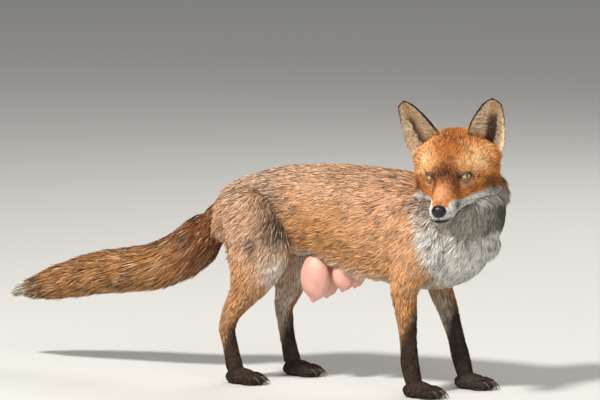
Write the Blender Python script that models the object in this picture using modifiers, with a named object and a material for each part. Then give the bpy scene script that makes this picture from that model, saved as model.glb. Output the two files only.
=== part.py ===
"""A red fox vixen, standing on four paws with its head turned over its right shoulder, as a life-size still model.

Every solid is drawn out to the tips of the coat. The flesh is lofted in pieces along named paths, fused into one
closed body, set on the floor, and then parted by thin cuts into the head, neck, trunk, tail and legs. The ears,
eyes, nose and milk glands are solids of their own, let into the body with a hairline gap.

Metres, +Z up, the fox faces +X, its left side is +Y. The origin is the middle of the footprint, on the floor.
"""

import math

import bmesh
import bpy
import numpy as np
from mathutils import Matrix, Vector

# ---------------------------------------------------------------- driving dimensions
CM = 0.01
GAP = 0.0004  # the hairline between neighbouring solids
FOOTPRINT_MIDDLE = Vector((-0.1460, -0.0355, 0.0))  # where the footprint's middle lies from the spine's own zero

# The trunk, from the rump to the front of the chest: x, back line, belly line, half width.
TRUNK = [
    (-0.222, 0.279, 0.236, 0.020),
    (-0.204, 0.2955, 0.210, 0.040),
    (-0.172, 0.314, 0.199, 0.056),
    (-0.130, 0.329, 0.200, 0.062),
    (-0.088, 0.3395, 0.201, 0.060),
    (-0.045, 0.344, 0.193, 0.060),
    (0.000, 0.3455, 0.183, 0.064),
    (0.045, 0.344, 0.170, 0.068),
    (0.090, 0.340, 0.160, 0.070),
    (0.135, 0.331, 0.154, 0.068),
    (0.175, 0.316, 0.160, 0.063),
    (0.208, 0.298, 0.180, 0.056),
    (0.233, 0.274, 0.209, 0.038),
]
TRUNK_TAPER = -0.10  # the trunk is a little wider above its middle than below it

# The neck, from inside the chest to the skull: x, y, z, half width, depth to the nape, depth to the throat.
NECK = [
    (0.122, 0.000, 0.262, 0.056, 0.060, 0.070),
    (0.184, 0.003, 0.275, 0.067, 0.060, 0.080),
    (0.197, 0.002, 0.312, 0.059, 0.052, 0.070),
    (0.193, -0.010, 0.348, 0.050, 0.048, 0.054),
]

# The brush: x, z, radius.
TAIL = [
    (-0.188, 0.278, 0.026),
    (-0.213, 0.249, 0.036),
    (-0.243, 0.215, 0.0445),
    (-0.280, 0.187, 0.045),
    (-0.318, 0.170, 0.0435),
    (-0.362, 0.160, 0.041),
    (-0.415, 0.151, 0.038),
    (-0.465, 0.139, 0.032),
    (-0.510, 0.127, 0.023),
    (-0.545, 0.118, 0.013),
    (-0.566, 0.113, 0.005),
]

# The head, in its own frame, in centimetres: forward from the eyes, top, bottom, half width, taper.
HEAD = [
    (-11.0, 2.2, -5.0, 4.0, 0.15),
    (-9.5, 3.5, -5.9, 5.2, 0.12),
    (-8.0, 4.2, -6.2, 5.9, 0.12),
    (-6.5, 4.5, -6.1, 6.1, 0.16),
    (-5.0, 4.35, -5.7, 6.1, 0.20),
    (-3.5, 3.9, -5.3, 5.5, 0.20),
    (-2.2, 3.3, -5.1, 4.6, 0.20),
    (-1.0, 2.6, -5.0, 3.8, 0.16),
    (0.0, 1.9, -4.95, 3.2, 0.14),
    (1.0, 1.3, -4.95, 2.65, 0.15),
    (2.0, 0.8, -5.0, 2.35, 0.16),
    (3.5, 0.25, -5.0, 2.1, 0.15),
    (5.0, -0.30, -4.95, 1.95, 0.12),
    (6.1, -0.75, -4.75, 1.75, 0.04),
    (6.9, -1.20, -4.2, 1.40, 0.00),
]
HEAD_YAW = math.radians(-80.5)  # turned from the line of the body towards the right
HEAD_PITCH = math.radians(21)  # the nose is held this far below level
HEAD_ROLL = math.radians(3.5)  # the left ear is held this much the higher
EYE_MIDDLE = Vector((0.207, -0.087, 0.341))  # midway between the eyes: the head frame's zero
EYE_CENTRE = Vector((-0.48, 2.45, 0.0)) * CM
EYE_RADIUS = 1.05 * CM
NOSE_CENTRE = Vector((7.0, 0.0, -2.15)) * CM
NOSE_SIZE = Vector((0.85, 1.12, 0.90)) * CM
EAR_INNER = [  # the left ear's edge nearer the crown, from its root to the tip: forward, left, up, in centimetres
    (-6.6, 1.5, 1.6),
    (-6.0, 2.6, 4.4),
    (-5.8, 3.6, 6.2),
    (-5.9, 4.8, 7.8),
    (-6.1, 5.9, 8.9),
    (-6.4, 6.9, 9.45),
]
EAR_OUTER = [  # its outer edge
    (-7.2, 6.4, -0.3),
    (-7.2, 7.35, 2.2),
    (-7.1, 7.65, 4.4),
    (-6.9, 7.7, 6.6),
    (-6.6, 7.55, 8.4),
    (-6.4, 6.9, 9.45),
]
EAR_DEPTH = 2.4 * CM
EAR_THICKNESS = 0.38 * CM
EAR_FACING = math.radians(22)  # the cups open forward and this far outward

# The legs: how far each joint lies along the body and above the floor, and the sizes of their sections.
LEG_SPREAD = 0.053
FORE_JOINTS = {"right": 0.000, "left": 0.040}  # how far forward the lower leg is set
FORE = [  # x, z, share of the set, half width, front, back
    (0.128, 0.288, 0.0, 0.022, 0.038, 0.042),
    (0.152, 0.232, 0.0, 0.027, 0.042, 0.050),
    (0.134, 0.193, 0.1, 0.0265, 0.032, 0.036),
    (0.126, 0.162, 0.3, 0.0215, 0.022, 0.027),
    (0.128, 0.115, 0.6, 0.0165, 0.0165, 0.0185),
    (0.131, 0.072, 0.85, 0.0145, 0.0145, 0.0150),
    (0.132, 0.052, 0.95, 0.0155, 0.0155, 0.0155),
    (0.138, 0.026, 1.0, 0.0150, 0.0140, 0.0150),
]
HIND_JOINTS = {"right": 0.000, "left": 0.048}
HIND = [
    (-0.150, 0.286, 0.0, 0.024, 0.048, 0.044),
    (-0.128, 0.245, 0.0, 0.028, 0.054, 0.056),
    (-0.114, 0.207, 0.1, 0.027, 0.046, 0.062),
    (-0.124, 0.170, 0.3, 0.0240, 0.034, 0.050),
    (-0.145, 0.135, 0.6, 0.0185, 0.021, 0.031),
    (-0.167, 0.106, 0.85, 0.0145, 0.0160, 0.0190),
    (-0.174, 0.088, 1.0, 0.0140, 0.0150, 0.0155),
    (-0.169, 0.055, 1.0, 0.0135, 0.0135, 0.0135),
    (-0.162, 0.026, 1.0, 0.0150, 0.0140, 0.0150),
]
FORE_PAW = 0.150  # where the middle of a paw lies along the body, before its leg's set
HIND_PAW = -0.148
PAW_SIZE = (0.026, 0.0185, 0.0150)
TOE_SIZE = (0.0150, 0.0088, 0.0098)
CLAW_LENGTH = 0.015
CLAW_RADIUS = 0.0022
CLAW_DIP = math.radians(24)

GLANDS = {  # the milk glands: middle and half sizes
    "rear": (Vector((-0.040, 0.0205, 0.168)), Vector((0.0245, 0.0198, 0.0370))),
    "middle": (Vector((0.008, 0.0200, 0.174)), Vector((0.0190, 0.0160, 0.0250))),
}

HOODS = {  # where the upper legs part from the trunk: middle and half sizes of a dome, and its floor
    "shoulder_": (Vector((0.137, 0.078, 0.236)), Vector((0.060, 0.053, 0.068)), 0.150),
    "thigh_": (Vector((-0.122, 0.079, 0.236)), Vector((0.083, 0.054, 0.072)), 0.164),
}

VOXEL = 0.0042
SMOOTHING = 7
FLESH_TRIANGLES = 2800
DETAIL_FACTOR = 0.0004  # how strongly the head and feet are spared when triangles are taken away

FUR_ORANGE = (0.52, 0.22, 0.08)
FUR_TAN = (0.46, 0.27, 0.15)
FUR_BROWN = (0.36, 0.19, 0.09)
FUR_BLACK = (0.035, 0.025, 0.022)
FUR_WHITE = (0.78, 0.74, 0.68)
NOSE_BLACK = (0.02, 0.018, 0.02)
EYE_AMBER = (0.45, 0.33, 0.08)
SKIN_PINK = (0.72, 0.42, 0.38)


# ---------------------------------------------------------------- frames
def head_frame():
    """The matrix that takes head coordinates to the body's."""
    turn = Matrix.Rotation(HEAD_YAW, 4, "Z") @ Matrix.Rotation(HEAD_PITCH, 4, "Y")
    return Matrix.Translation(EYE_MIDDLE) @ turn @ Matrix.Rotation(HEAD_ROLL, 4, "X")


def mirrored(point, side):
    """The point as given on the left, or its mirror image on the right."""
    return Vector((point.x, point.y * side, point.z))


SIDES = {"left": 1, "right": -1}


# ---------------------------------------------------------------- surfaces
def spline(rows, count):
    """Rows read as one smooth curve: cubic pieces between them, whose slopes are central differences."""
    rows = np.array(rows, float)
    steps = np.linalg.norm(np.diff(rows[:, :3], axis=0), axis=1)
    knots = np.concatenate([[0.0], np.cumsum(steps)])
    slopes = np.gradient(rows, knots, axis=0)
    at = np.linspace(0.0, knots[-1], count)
    i = np.clip(np.searchsorted(knots, at, side="right") - 1, 0, len(rows) - 2)
    span = (knots[i + 1] - knots[i])[:, None]
    t = (at[:, None] - knots[i][:, None]) / span
    start, end = rows[i], rows[i + 1]
    leave, arrive = slopes[i] * span, slopes[i + 1] * span
    bend = (3 * t**2 - 2 * t**3, t**3 - 2 * t**2 + t, t**3 - t**2)
    return start * (1 - bend[0]) + end * bend[0] + leave * bend[1] + arrive * bend[2]


def loft(rows, rings, around, side=(0.0, 1.0, 0.0), cap=0.6):
    """A closed skin of egg-shaped rings along a path. A row is centre, half width, height above, height below and taper.

    Each ring stands square to the path. Round domes, cap times as long as the end ring is high, close both ends.
    """
    curve = spline(rows, rings)
    centres, sizes = curve[:, :3], curve[:, 3:]
    ahead = np.gradient(centres, axis=0)
    ahead /= np.linalg.norm(ahead, axis=1)[:, None]
    dome = np.radians(np.arange(20, 90, 22))
    for end, sign in ((0, -1), (-1, 1)):
        reach = cap * sizes[end, :3].min() * sign
        more = centres[end] + np.outer(np.sin(dome) * reach, ahead[end])
        shrunk = np.outer(np.cos(dome), sizes[end, :3])
        shrunk = np.hstack([shrunk, np.full((len(dome), 1), sizes[end, 3])])
        facing = np.repeat(ahead[end][None], len(dome), axis=0)
        if end == 0:
            centres, sizes, ahead = (
                np.vstack([new[::-1], old]) for new, old in ((more, centres), (shrunk, sizes), (facing, ahead))
            )
        else:
            centres, sizes, ahead = (
                np.vstack([old, new]) for new, old in ((more, centres), (shrunk, sizes), (facing, ahead))
            )
    across = np.array(side) - (ahead @ np.array(side))[:, None] * ahead
    across /= np.linalg.norm(across, axis=1)[:, None]
    rise = np.cross(ahead, across)
    angle = np.linspace(0, 2 * math.pi, around, endpoint=False)
    cosine, sine = np.cos(angle), np.sin(angle)
    width = sizes[:, :1] * cosine * (1 - sizes[:, 3:4] * sine)
    height = np.where(sine > 0, sizes[:, 1:2], sizes[:, 2:3]) * sine
    points = centres[:, None] + width[..., None] * across[:, None] + height[..., None] * rise[:, None]
    poles = [
        centres[0] - ahead[0] * cap * 0.1 * sizes[0, 0],
        centres[-1] + ahead[-1] * cap * 0.1 * sizes[-1, 0],
    ]
    return closed_grid(points, poles)


def closed_grid(points, poles):
    """Vertices and faces of rings joined in order, with a fan to a pole at each end."""
    rings, around = points.shape[:2]
    ring = np.arange(around)
    after = (ring + 1) % around
    base = np.arange(rings - 1)[:, None] * around
    quads = np.stack([base + ring, base + after, base + around + after, base + around + ring], axis=-1).reshape(-1, 4)
    last = (rings - 1) * around
    first_pole, last_pole = rings * around, rings * around + 1
    fans = [(first_pole, b, a) for a, b in zip(ring.tolist(), after.tolist())]
    fans += [(last_pole, last + a, last + b) for a, b in zip(ring.tolist(), after.tolist())]
    return np.vstack([points.reshape(-1, 3), *[np.array(p)[None] for p in poles]]), quads.tolist() + fans


def ball(centre, size, rings=9, around=14):
    """An ellipsoid, as vertices and faces: circles of latitude scaled by the three half sizes."""
    tilt = np.linspace(-math.pi / 2, math.pi / 2, rings + 2)[1:-1]
    angle = np.linspace(0, 2 * math.pi, around, endpoint=False)
    points = np.stack(
        [
            np.outer(np.cos(tilt), np.cos(angle)),
            np.outer(np.cos(tilt), np.sin(angle)),
            np.outer(np.sin(tilt), np.ones(around)),
        ],
        axis=-1,
    )
    vertices, faces = closed_grid(points, [(0, 0, -1), (0, 0, 1)])
    return vertices * np.array(size) + np.array(centre), faces


def moved(shape, matrix):
    """The shape's vertices taken through a 4x4 matrix."""
    vertices, faces = shape
    turn = np.array(matrix)
    return vertices @ turn[:3, :3].T + turn[:3, 3], faces


# ---------------------------------------------------------------- the fox's forms
def trunk():
    rows = [
        (x, 0.0, (top + low) / 2, half, (top - low) / 2, (top - low) / 2, TRUNK_TAPER)
        for x, top, low, half in TRUNK
    ]
    return loft(rows, 44, 36)


def neck():
    return loft([(*row, 0.0) for row in NECK], 18, 32)


def tail():
    rows = [(x, 0.0, z, radius, radius, radius, 0.0) for x, z, radius in TAIL]
    return loft(rows, 44, 26, cap=1.0)


def skull():
    """The head without its ears: one loft from the nape to the lips, hollowed at the eyes, with full cheeks."""
    rows = [
        (x * CM, 0.0, (top + low) / 2 * CM, half * CM, (top - low) / 2 * CM, (top - low) / 2 * CM, taper)
        for x, top, low, half, taper in HEAD
    ]
    vertices, faces = loft(rows, 60, 48, cap=0.75)
    return moved((hollowed(vertices), faces), head_frame())


def hollowed(vertices):
    """Presses in the eye sockets and the bridge in front of them, and swells the brows and cheeks.

    Each form is a bell of its own width about a point, which moves the surface along a fixed direction.
    """
    forms = [  # point on the left, direction, reach, width, all in centimetres
        ((1.1, 3.0, -0.3), (-0.25, -1.0, 0.0), 0.42, 1.0),  # the hollow before the eye
        ((-0.7, 3.3, 1.5), (0.55, 0.55, 0.5), 0.28, 0.9),  # the brow
        ((-1.6, 4.4, -2.0), (0.3, 0.9, -0.1), 0.35, 1.3),  # the cheekbone
        ((5.6, 1.8, -2.6), (0.2, 1.0, 0.0), 0.14, 1.0),  # the whisker pad
        ((-4.0, 4.6, -3.9), (-0.15, 0.9, -0.35), 1.9, 2.3),  # the ruff of the cheek
        ((-0.8, 3.0, -4.0), (0.0, 1.0, -0.1), 1.1, 1.8),  # the long hair along the jaw
    ]
    for point, direction, reach, width in forms:
        for side in SIDES.values():
            at = np.array(point) * (1, side, 1) * CM
            way = np.array(direction) * (1, side, 1)
            away = ((vertices - at) ** 2).sum(1) / (width * CM) ** 2
            vertices = vertices + np.exp(-away)[:, None] * way / np.linalg.norm(way) * reach * CM
    return vertices


def leg(table, spread, forward):
    rows = [
        (x + forward * share, spread, z, half, front, back, 0.0) for x, z, share, half, front, back in table
    ]
    return loft(rows, 46, 24, cap=0.4)


def toes(x, y):
    """The middles of the four toes of a paw: the two middle toes reach furthest."""
    return [
        (x + reach, y + across, PAW_SIZE[2] * 0.58)
        for reach, across in ((0.014, -0.0135), (0.0225, -0.0048), (0.0225, 0.0048), (0.014, 0.0135))
    ]


def paw(x, y):
    """The pad of a paw and its toes, as a list of shapes."""
    pad = ball((x - 0.004, y, PAW_SIZE[2] * 0.72), PAW_SIZE)
    return [pad] + [ball(toe, TOE_SIZE, 8, 12) for toe in toes(x, y)]


def flesh():
    """Every shape that is fused into the one body."""
    shapes = [trunk(), neck(), tail(), skull()]
    for name, side in SIDES.items():
        spread = LEG_SPREAD * side
        shapes.append(leg(FORE, spread, FORE_JOINTS[name]))
        shapes.append(leg(HIND, spread, HIND_JOINTS[name]))
        shapes += paw(FORE_PAW + FORE_JOINTS[name], spread)
        shapes += paw(HIND_PAW + HIND_JOINTS[name], spread)
    return shapes


# ---------------------------------------------------------------- Blender objects
def clear_scene():
    for obj in list(bpy.data.objects):
        bpy.data.objects.remove(obj, do_unlink=True)


def collection(name):
    made = bpy.data.collections.new(name)
    bpy.context.scene.collection.children.link(made)
    return made


def mesh_object(name, shapes, where):
    """One object that holds the shapes side by side."""
    vertices, faces, count = [], [], 0
    for points, polygons in shapes:
        vertices.append(points)
        faces += [tuple(i + count for i in polygon) for polygon in polygons]
        count += len(points)
    mesh = bpy.data.meshes.new(name)
    mesh.from_pydata(np.vstack(vertices).tolist(), [], faces)
    mesh.update()
    obj = bpy.data.objects.new(name, mesh)
    where.objects.link(obj)
    return obj


def baked(obj, name, where):
    """A new object with the mesh that obj's modifiers make. The old one is removed."""
    bpy.context.view_layer.update()
    graph = bpy.context.evaluated_depsgraph_get()
    mesh = bpy.data.meshes.new_from_object(obj.evaluated_get(graph))
    made = bpy.data.objects.new(name, mesh)
    made.matrix_world = obj.matrix_world
    where.objects.link(made)
    bpy.data.objects.remove(obj, do_unlink=True)
    return made


def as_cutter(obj):
    obj.hide_render = True
    obj.display_type = "WIRE"
    return obj


def cut(obj, cutter, operation="DIFFERENCE"):
    boolean = obj.modifiers.new("cut by " + cutter.name, "BOOLEAN")
    boolean.operation = operation
    boolean.solver = "EXACT"
    boolean.object = cutter
    return boolean


def material(name, colour, roughness):
    made = bpy.data.materials.new(name)
    made.use_nodes = True
    shader = made.node_tree.nodes["Principled BSDF"]
    shader.inputs["Base Color"].default_value = (*colour, 1.0)
    shader.inputs["Roughness"].default_value = roughness
    shader.inputs["Metallic"].default_value = 0.0
    return made


# ---------------------------------------------------------------- the thin cuts
def disc_cut(where, name, middle, normal, radius):
    """A thin round plate across a limb."""
    grid = bmesh.new()
    bmesh.ops.create_cone(
        grid, cap_ends=True, segments=24, radius1=radius, radius2=radius, depth=GAP
    )
    mesh = bpy.data.meshes.new(name)
    grid.to_mesh(mesh)
    grid.free()
    turn = Vector((0, 0, 1)).rotation_difference(Vector(normal)).to_matrix().to_4x4()
    mesh.transform(Matrix.Translation(middle) @ turn)
    obj = bpy.data.objects.new(name, mesh)
    where.objects.link(obj)
    return as_cutter(obj)


def hood(where, name, middle, size, floor, grow=0.0):
    """A closed hood for the top of a leg: a dome above its middle, a straight wall below, and a flat floor."""
    around, rows = 18, 5
    size = size + Vector((grow, grow, grow))
    tilt = np.linspace(0.3, math.pi / 2, rows)
    angle = np.linspace(0, 2 * math.pi, around, endpoint=False)
    radius = np.append(np.sin(tilt), 1.0)
    height = np.append(np.cos(tilt) * size.z, floor - grow - middle.z)
    points = np.stack(
        [
            middle.x + size.x * np.outer(radius, np.cos(angle)),
            middle.y + size.y * np.outer(radius, np.sin(angle)),
            middle.z + np.outer(height, np.ones(around)),
        ],
        axis=-1,
    )
    poles = [(middle.x, middle.y, middle.z + size.z), (middle.x, middle.y, floor - grow)]
    vertices, faces = closed_grid(points, poles)
    return as_cutter(mesh_object(name, [(vertices, [face[::-1] for face in faces])], where))


def limb_cuts():
    """Where the plates go: name, middle, normal and radius."""
    cuts = [
        ("neck_top", Vector((0.200, -0.020, 0.300)), Vector((0.45, -0.25, 1.0)), 0.115),
        ("neck_base", Vector((0.165, 0.0, 0.284)), Vector((0.62, 0.0, 0.78)), 0.120),
        ("tail_root", Vector((-0.2185, 0.0, 0.247)), Vector((-0.66, 0.0, -0.75)), 0.085),
        ("tail_middle", Vector((-0.340, 0.0, 0.164)), Vector((-1.0, 0.0, -0.20)), 0.060),
        ("tail_tip", Vector((-0.500, 0.0, 0.130)), Vector((-1.0, 0.0, -0.26)), 0.045),
    ]
    for name, side in SIDES.items():
        y = LEG_SPREAD * side
        fore, hind = FORE_JOINTS[name], HIND_JOINTS[name]
        cuts += [
            ("wrist_" + name, Vector((0.135 + fore, y, 0.038)), Vector((-0.15, 0, 1)), 0.024),
            ("hock_" + name, Vector((-0.173 + hind, y, 0.084)), Vector((0.1, 0, 1)), 0.026),
            ("ankle_" + name, Vector((-0.165 + hind, y, 0.036)), Vector((-0.2, 0, 1)), 0.024),
        ]
    return cuts


# Which piece each seed point lies in, after the cuts.
def seeds():
    head = head_frame()
    found = {
        "head": head @ (Vector((-2.0, 0.0, -1.0)) * CM),
        "neck": Vector((0.190, 0.000, 0.284)),
        "trunk": Vector((0.020, 0.0, 0.270)),
        "tail_root": Vector((-0.280, 0.0, 0.187)),
        "tail_brush": Vector((-0.420, 0.0, 0.150)),
        "tail_tip": Vector((-0.530, 0.0, 0.122)),
    }
    for name, side in SIDES.items():
        y = LEG_SPREAD * side
        fore, hind = FORE_JOINTS[name], HIND_JOINTS[name]
        found |= {
            "shoulder_" + name: Vector((0.145, y, 0.215)),
            "forearm_" + name: Vector((0.130 + 0.7 * fore, y, 0.095)),
            "forepaw_" + name: Vector((0.150 + fore, y, 0.014)),
            "thigh_" + name: Vector((-0.120, y, 0.235)),
            "shank_" + name: Vector((-0.147 + 0.65 * hind, y, 0.130)),
            "metatarsus_" + name: Vector((-0.169 + hind, y, 0.058)),
            "hindpaw_" + name: Vector((-0.148 + hind, y, 0.014)),
        }
    return found


def fuse(where):
    """The flesh as one closed body: voxels, then smoothing, the floor's flat, and fewer triangles away from the head."""
    body = mesh_object("flesh", flesh(), where)
    remesh = body.modifiers.new("fuse", "REMESH")
    remesh.mode = "VOXEL"
    remesh.voxel_size = VOXEL
    smooth = body.modifiers.new("soften", "SMOOTH")
    smooth.factor = 0.5
    smooth.iterations = SMOOTHING
    body = baked(body, "flesh", where)
    keep_detail(body)
    triangles = 2 * len(body.data.polygons)
    fewer = body.modifiers.new("fewer", "DECIMATE")
    fewer.ratio = FLESH_TRIANGLES / triangles
    fewer.vertex_group = "broad"
    fewer.vertex_group_factor = DETAIL_FACTOR
    return baked(body, "flesh", where)


def keep_detail(body):
    """A vertex group that spares the head, and to a less degree the feet, when triangles are taken away."""
    group = body.vertex_groups.new(name="broad")
    head = head_frame().inverted()
    co = np.empty(len(body.data.vertices) * 3, np.float32)
    body.data.vertices.foreach_get("co", co)
    co = co.reshape(-1, 3)
    local = co @ np.array(head)[:3, :3].T + np.array(head)[:3, 3]
    face = np.linalg.norm((local - (0.02, 0, -0.015)) / (0.075, 0.06, 0.06), axis=1) < 1.0
    skull_back = (np.linalg.norm(local / (0.12, 0.085, 0.085), axis=1) < 1.0) & ~face
    feet = co[:, 2] < 0.035
    weight = np.ones(len(co))
    weight[skull_back | feet] = 0.86
    weight[face] = 0.80
    for value in (1.0, 0.86, 0.80):
        group.add(np.flatnonzero(np.isclose(weight, value)).tolist(), value, "REPLACE")


def floor_cut(where):
    """A block under the floor, which flattens the soles."""
    depth = 0.05
    grid = bmesh.new()
    bmesh.ops.create_cube(grid, size=1.0)
    mesh = bpy.data.meshes.new("floor_block")
    grid.to_mesh(mesh)
    grid.free()
    mesh.transform(Matrix.Translation((-0.1, 0, -depth / 2)) @ Matrix.Diagonal((1.4, 0.6, depth, 1)))
    obj = bpy.data.objects.new("floor_block", mesh)
    where.objects.link(obj)
    return as_cutter(obj)


def part_flesh(body, parts, cutters):
    """Cuts the fused body with every plate, lifts each upper leg out under its hood, and names the loose pieces."""
    cut(body, floor_cut(cutters))
    for name, *rest in limb_cuts():
        cut(body, disc_cut(cutters, "plate_" + name, *rest))
    body = baked(body, "flesh", parts)
    wanted = seeds()
    made = {}
    for name, side in SIDES.items():
        for kind, (middle, size, floor) in HOODS.items():
            node = kind + name
            at = mirrored(middle, side)
            upper = bpy.data.objects.new("upper_leg", body.data.copy())
            parts.objects.link(upper)
            cut(upper, hood(cutters, "hood_" + node, at, size, floor), "INTERSECT")
            made |= loose_pieces(baked(upper, "upper_leg", parts), {node: wanted.pop(node)}, parts)
            cut(body, hood(cutters, "seat_" + node, at, size, floor, GAP))
            body = baked(body, "flesh", parts)
    return made | loose_pieces(body, wanted, parts)


def loose_pieces(body, wanted, parts):
    """One object for each loose piece of body that holds a seed point; the rest is dropped."""
    grid = bmesh.new()
    grid.from_mesh(body.data)
    bmesh.ops.triangulate(grid, faces=grid.faces)
    pieces = islands(grid)
    made = {}
    for name, seed in wanted.items():
        piece = min(pieces, key=lambda faces: distance_in(faces, seed))
        made[name] = object_of(name, piece, parts)
    grid.free()
    bpy.data.objects.remove(body, do_unlink=True)
    return made


def islands(grid):
    """Lists of faces that hang together."""
    left, found = set(grid.faces), []
    while left:
        stack = [left.pop()]
        piece = list(stack)
        while stack:
            face = stack.pop()
            for edge in face.edges:
                for other in edge.link_faces:
                    if other in left:
                        left.remove(other)
                        stack.append(other)
                        piece.append(other)
        found.append(piece)
    return found


def distance_in(faces, seed):
    """How far the seed lies from being inside this closed piece: the solid angle that it sees, short of the full sphere."""
    corners = np.array([[v.co for v in face.verts] for face in faces]) - np.array(seed)
    length = np.linalg.norm(corners, axis=2)
    a, b, c = corners[:, 0], corners[:, 1], corners[:, 2]
    top = np.einsum("ij,ij->i", a, np.cross(b, c))
    low = (
        length.prod(1)
        + (a * b).sum(1) * length[:, 2]
        + (b * c).sum(1) * length[:, 0]
        + (c * a).sum(1) * length[:, 1]
    )
    return abs(4 * math.pi - 2 * np.arctan2(top, low).sum())


def object_of(name, faces, parts):
    index = {}
    for face in faces:
        for vertex in face.verts:
            index.setdefault(vertex, len(index))
    mesh = bpy.data.meshes.new(name)
    mesh.from_pydata([v.co for v in index], [], [[index[v] for v in f.verts] for f in faces])
    mesh.update()
    obj = bpy.data.objects.new(name, mesh)
    parts.objects.link(obj)
    return obj


# ---------------------------------------------------------------- ears, eyes, nose, glands, claws
def ear(name, side, parts):
    """A cupped leaf between its two edges: each cross line from edge to edge bows back as half an ellipse does.

    The cup is deepest a third of the way up and dies out at the tip.
    """
    up, across = 9, 7
    inner = spline(EAR_INNER, up) * (1, side, 1) * CM
    outer = spline(EAR_OUTER, up) * (1, side, 1) * CM
    v = np.linspace(0, math.pi, across)[None, :, None]
    rise = np.linspace(0, 1, up)[:, None, None]
    depth = EAR_DEPTH * (1 - rise) ** 0.8 * (0.7 + 0.6 * rise)
    back = -np.array((math.cos(EAR_FACING), side * math.sin(EAR_FACING), 0.0))
    points = inner[:, None] + (outer - inner)[:, None] * (1 - np.cos(v)) / 2 + back * depth * np.sin(v)
    tip = up - 1
    frame = np.array(head_frame())
    points = points.reshape(-1, 3)[: tip * across + 1] @ frame[:3, :3].T + frame[:3, 3]
    faces = []
    for i in range(tip):
        for j in range(across - 1):
            a = i * across + j
            quad = (a, a + 1, a + across + 1, a + across) if i < tip - 1 else (a, a + 1, tip * across)
            faces.append(quad if side > 0 else quad[::-1])
    mesh = bpy.data.meshes.new(name)
    mesh.from_pydata(points.tolist(), [], faces)
    obj = bpy.data.objects.new(name, mesh)
    parts.objects.link(obj)
    wall = obj.modifiers.new("thickness", "SOLIDIFY")
    wall.thickness = EAR_THICKNESS
    wall.offset = 0.0
    return obj


def swollen(obj, name, cutters, by=GAP):
    """A copy of obj a hairline larger, to cut its neighbours with."""
    copy = bpy.data.objects.new(name, obj.data.copy())
    cutters.objects.link(copy)
    grow = copy.modifiers.new("grow", "DISPLACE")
    grow.strength = by
    grow.mid_level = 0.0
    return as_cutter(baked(copy, name, cutters))


def solid_ball(name, middle, size, matrix, parts, rings=7, around=12):
    shape = ball(tuple(middle), tuple(size), rings, around)
    return mesh_object(name, [moved(shape, matrix)], parts)


def add_head_pieces(made, parts, cutters):
    head = head_frame()
    made["nose"] = solid_ball("nose", NOSE_CENTRE, NOSE_SIZE, head, parts)
    cut(made["head"], swollen(made["nose"], "nose_seat", cutters))
    for name, side in SIDES.items():
        eye = solid_ball("eye_" + name, mirrored(EYE_CENTRE, side), (EYE_RADIUS,) * 3, head, parts)
        cut(made["head"], swollen(eye, "eye_seat_" + name, cutters))
        made["eye_" + name] = eye
    made["head"] = baked(made["head"], "head", parts)
    hollow = swollen(made["head"], "head_seat", cutters)
    nape = swollen(made["neck"], "neck_seat", cutters)
    for name, side in SIDES.items():
        made["ear_" + name] = ear("ear_" + name, side, parts)
        cut(made["ear_" + name], hollow)
        cut(made["ear_" + name], nape)
        made["ear_" + name] = largest_piece(baked(made["ear_" + name], "ear_" + name, parts), parts)


def largest_piece(obj, parts):
    """The biggest loose piece of obj, under its name."""
    grid = bmesh.new()
    grid.from_mesh(obj.data)
    bmesh.ops.triangulate(grid, faces=grid.faces)
    name = obj.name
    bpy.data.objects.remove(obj, do_unlink=True)
    made = object_of(name, max(islands(grid), key=len), parts)
    made.name = name
    grid.free()
    return made


def add_glands(made, parts, cutters):
    seats = [swollen(made[name], name + "_seat", cutters) for name in ("trunk", "thigh_left", "thigh_right")]
    for place, (middle, size) in GLANDS.items():
        for name, side in SIDES.items():
            node = f"gland_{place}_{name}"
            gland = solid_ball(node, mirrored(middle, side), size, Matrix(), parts)
            for seat in seats:
                cut(gland, seat)
            made[node] = largest_piece(baked(gland, node, parts), parts)


def add_claws(made, parts, cutters):
    """Four claws on each paw, joined to it: slim ellipsoids that dip forward."""
    dip = Matrix.Rotation(CLAW_DIP, 4, "Y")
    for paw_name, along, joints in (("forepaw_", FORE_PAW, FORE_JOINTS), ("hindpaw_", HIND_PAW, HIND_JOINTS)):
        for name, side in SIDES.items():
            node = paw_name + name
            slim = ball((0, 0, 0), (CLAW_LENGTH / 2, CLAW_RADIUS, CLAW_RADIUS), 3, 6)
            roots = [
                Matrix.Translation((x + TOE_SIZE[0] * 0.95, y, z - 0.001)) @ dip
                for x, y, z in toes(along + joints[name], LEG_SPREAD * side)
            ]
            claws = as_cutter(mesh_object("claws_" + node, [moved(slim, root) for root in roots], cutters))
            cut(made[node], claws, "UNION")
            made[node] = baked(made[node], node, parts)


def colour_of(node):
    if node.startswith(("forearm", "forepaw", "hindpaw", "metatarsus", "ear")):
        return "fur_black"
    if node.startswith("tail_tip"):
        return "fur_white"
    if node.startswith("tail"):
        return "fur_brown"
    if node.startswith("gland"):
        return "skin_pink"
    if node.startswith("eye"):
        return "eye_amber"
    if node == "nose":
        return "nose_black"
    return "fur_orange" if node in ("head", "neck") else "fur_tan"


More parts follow.
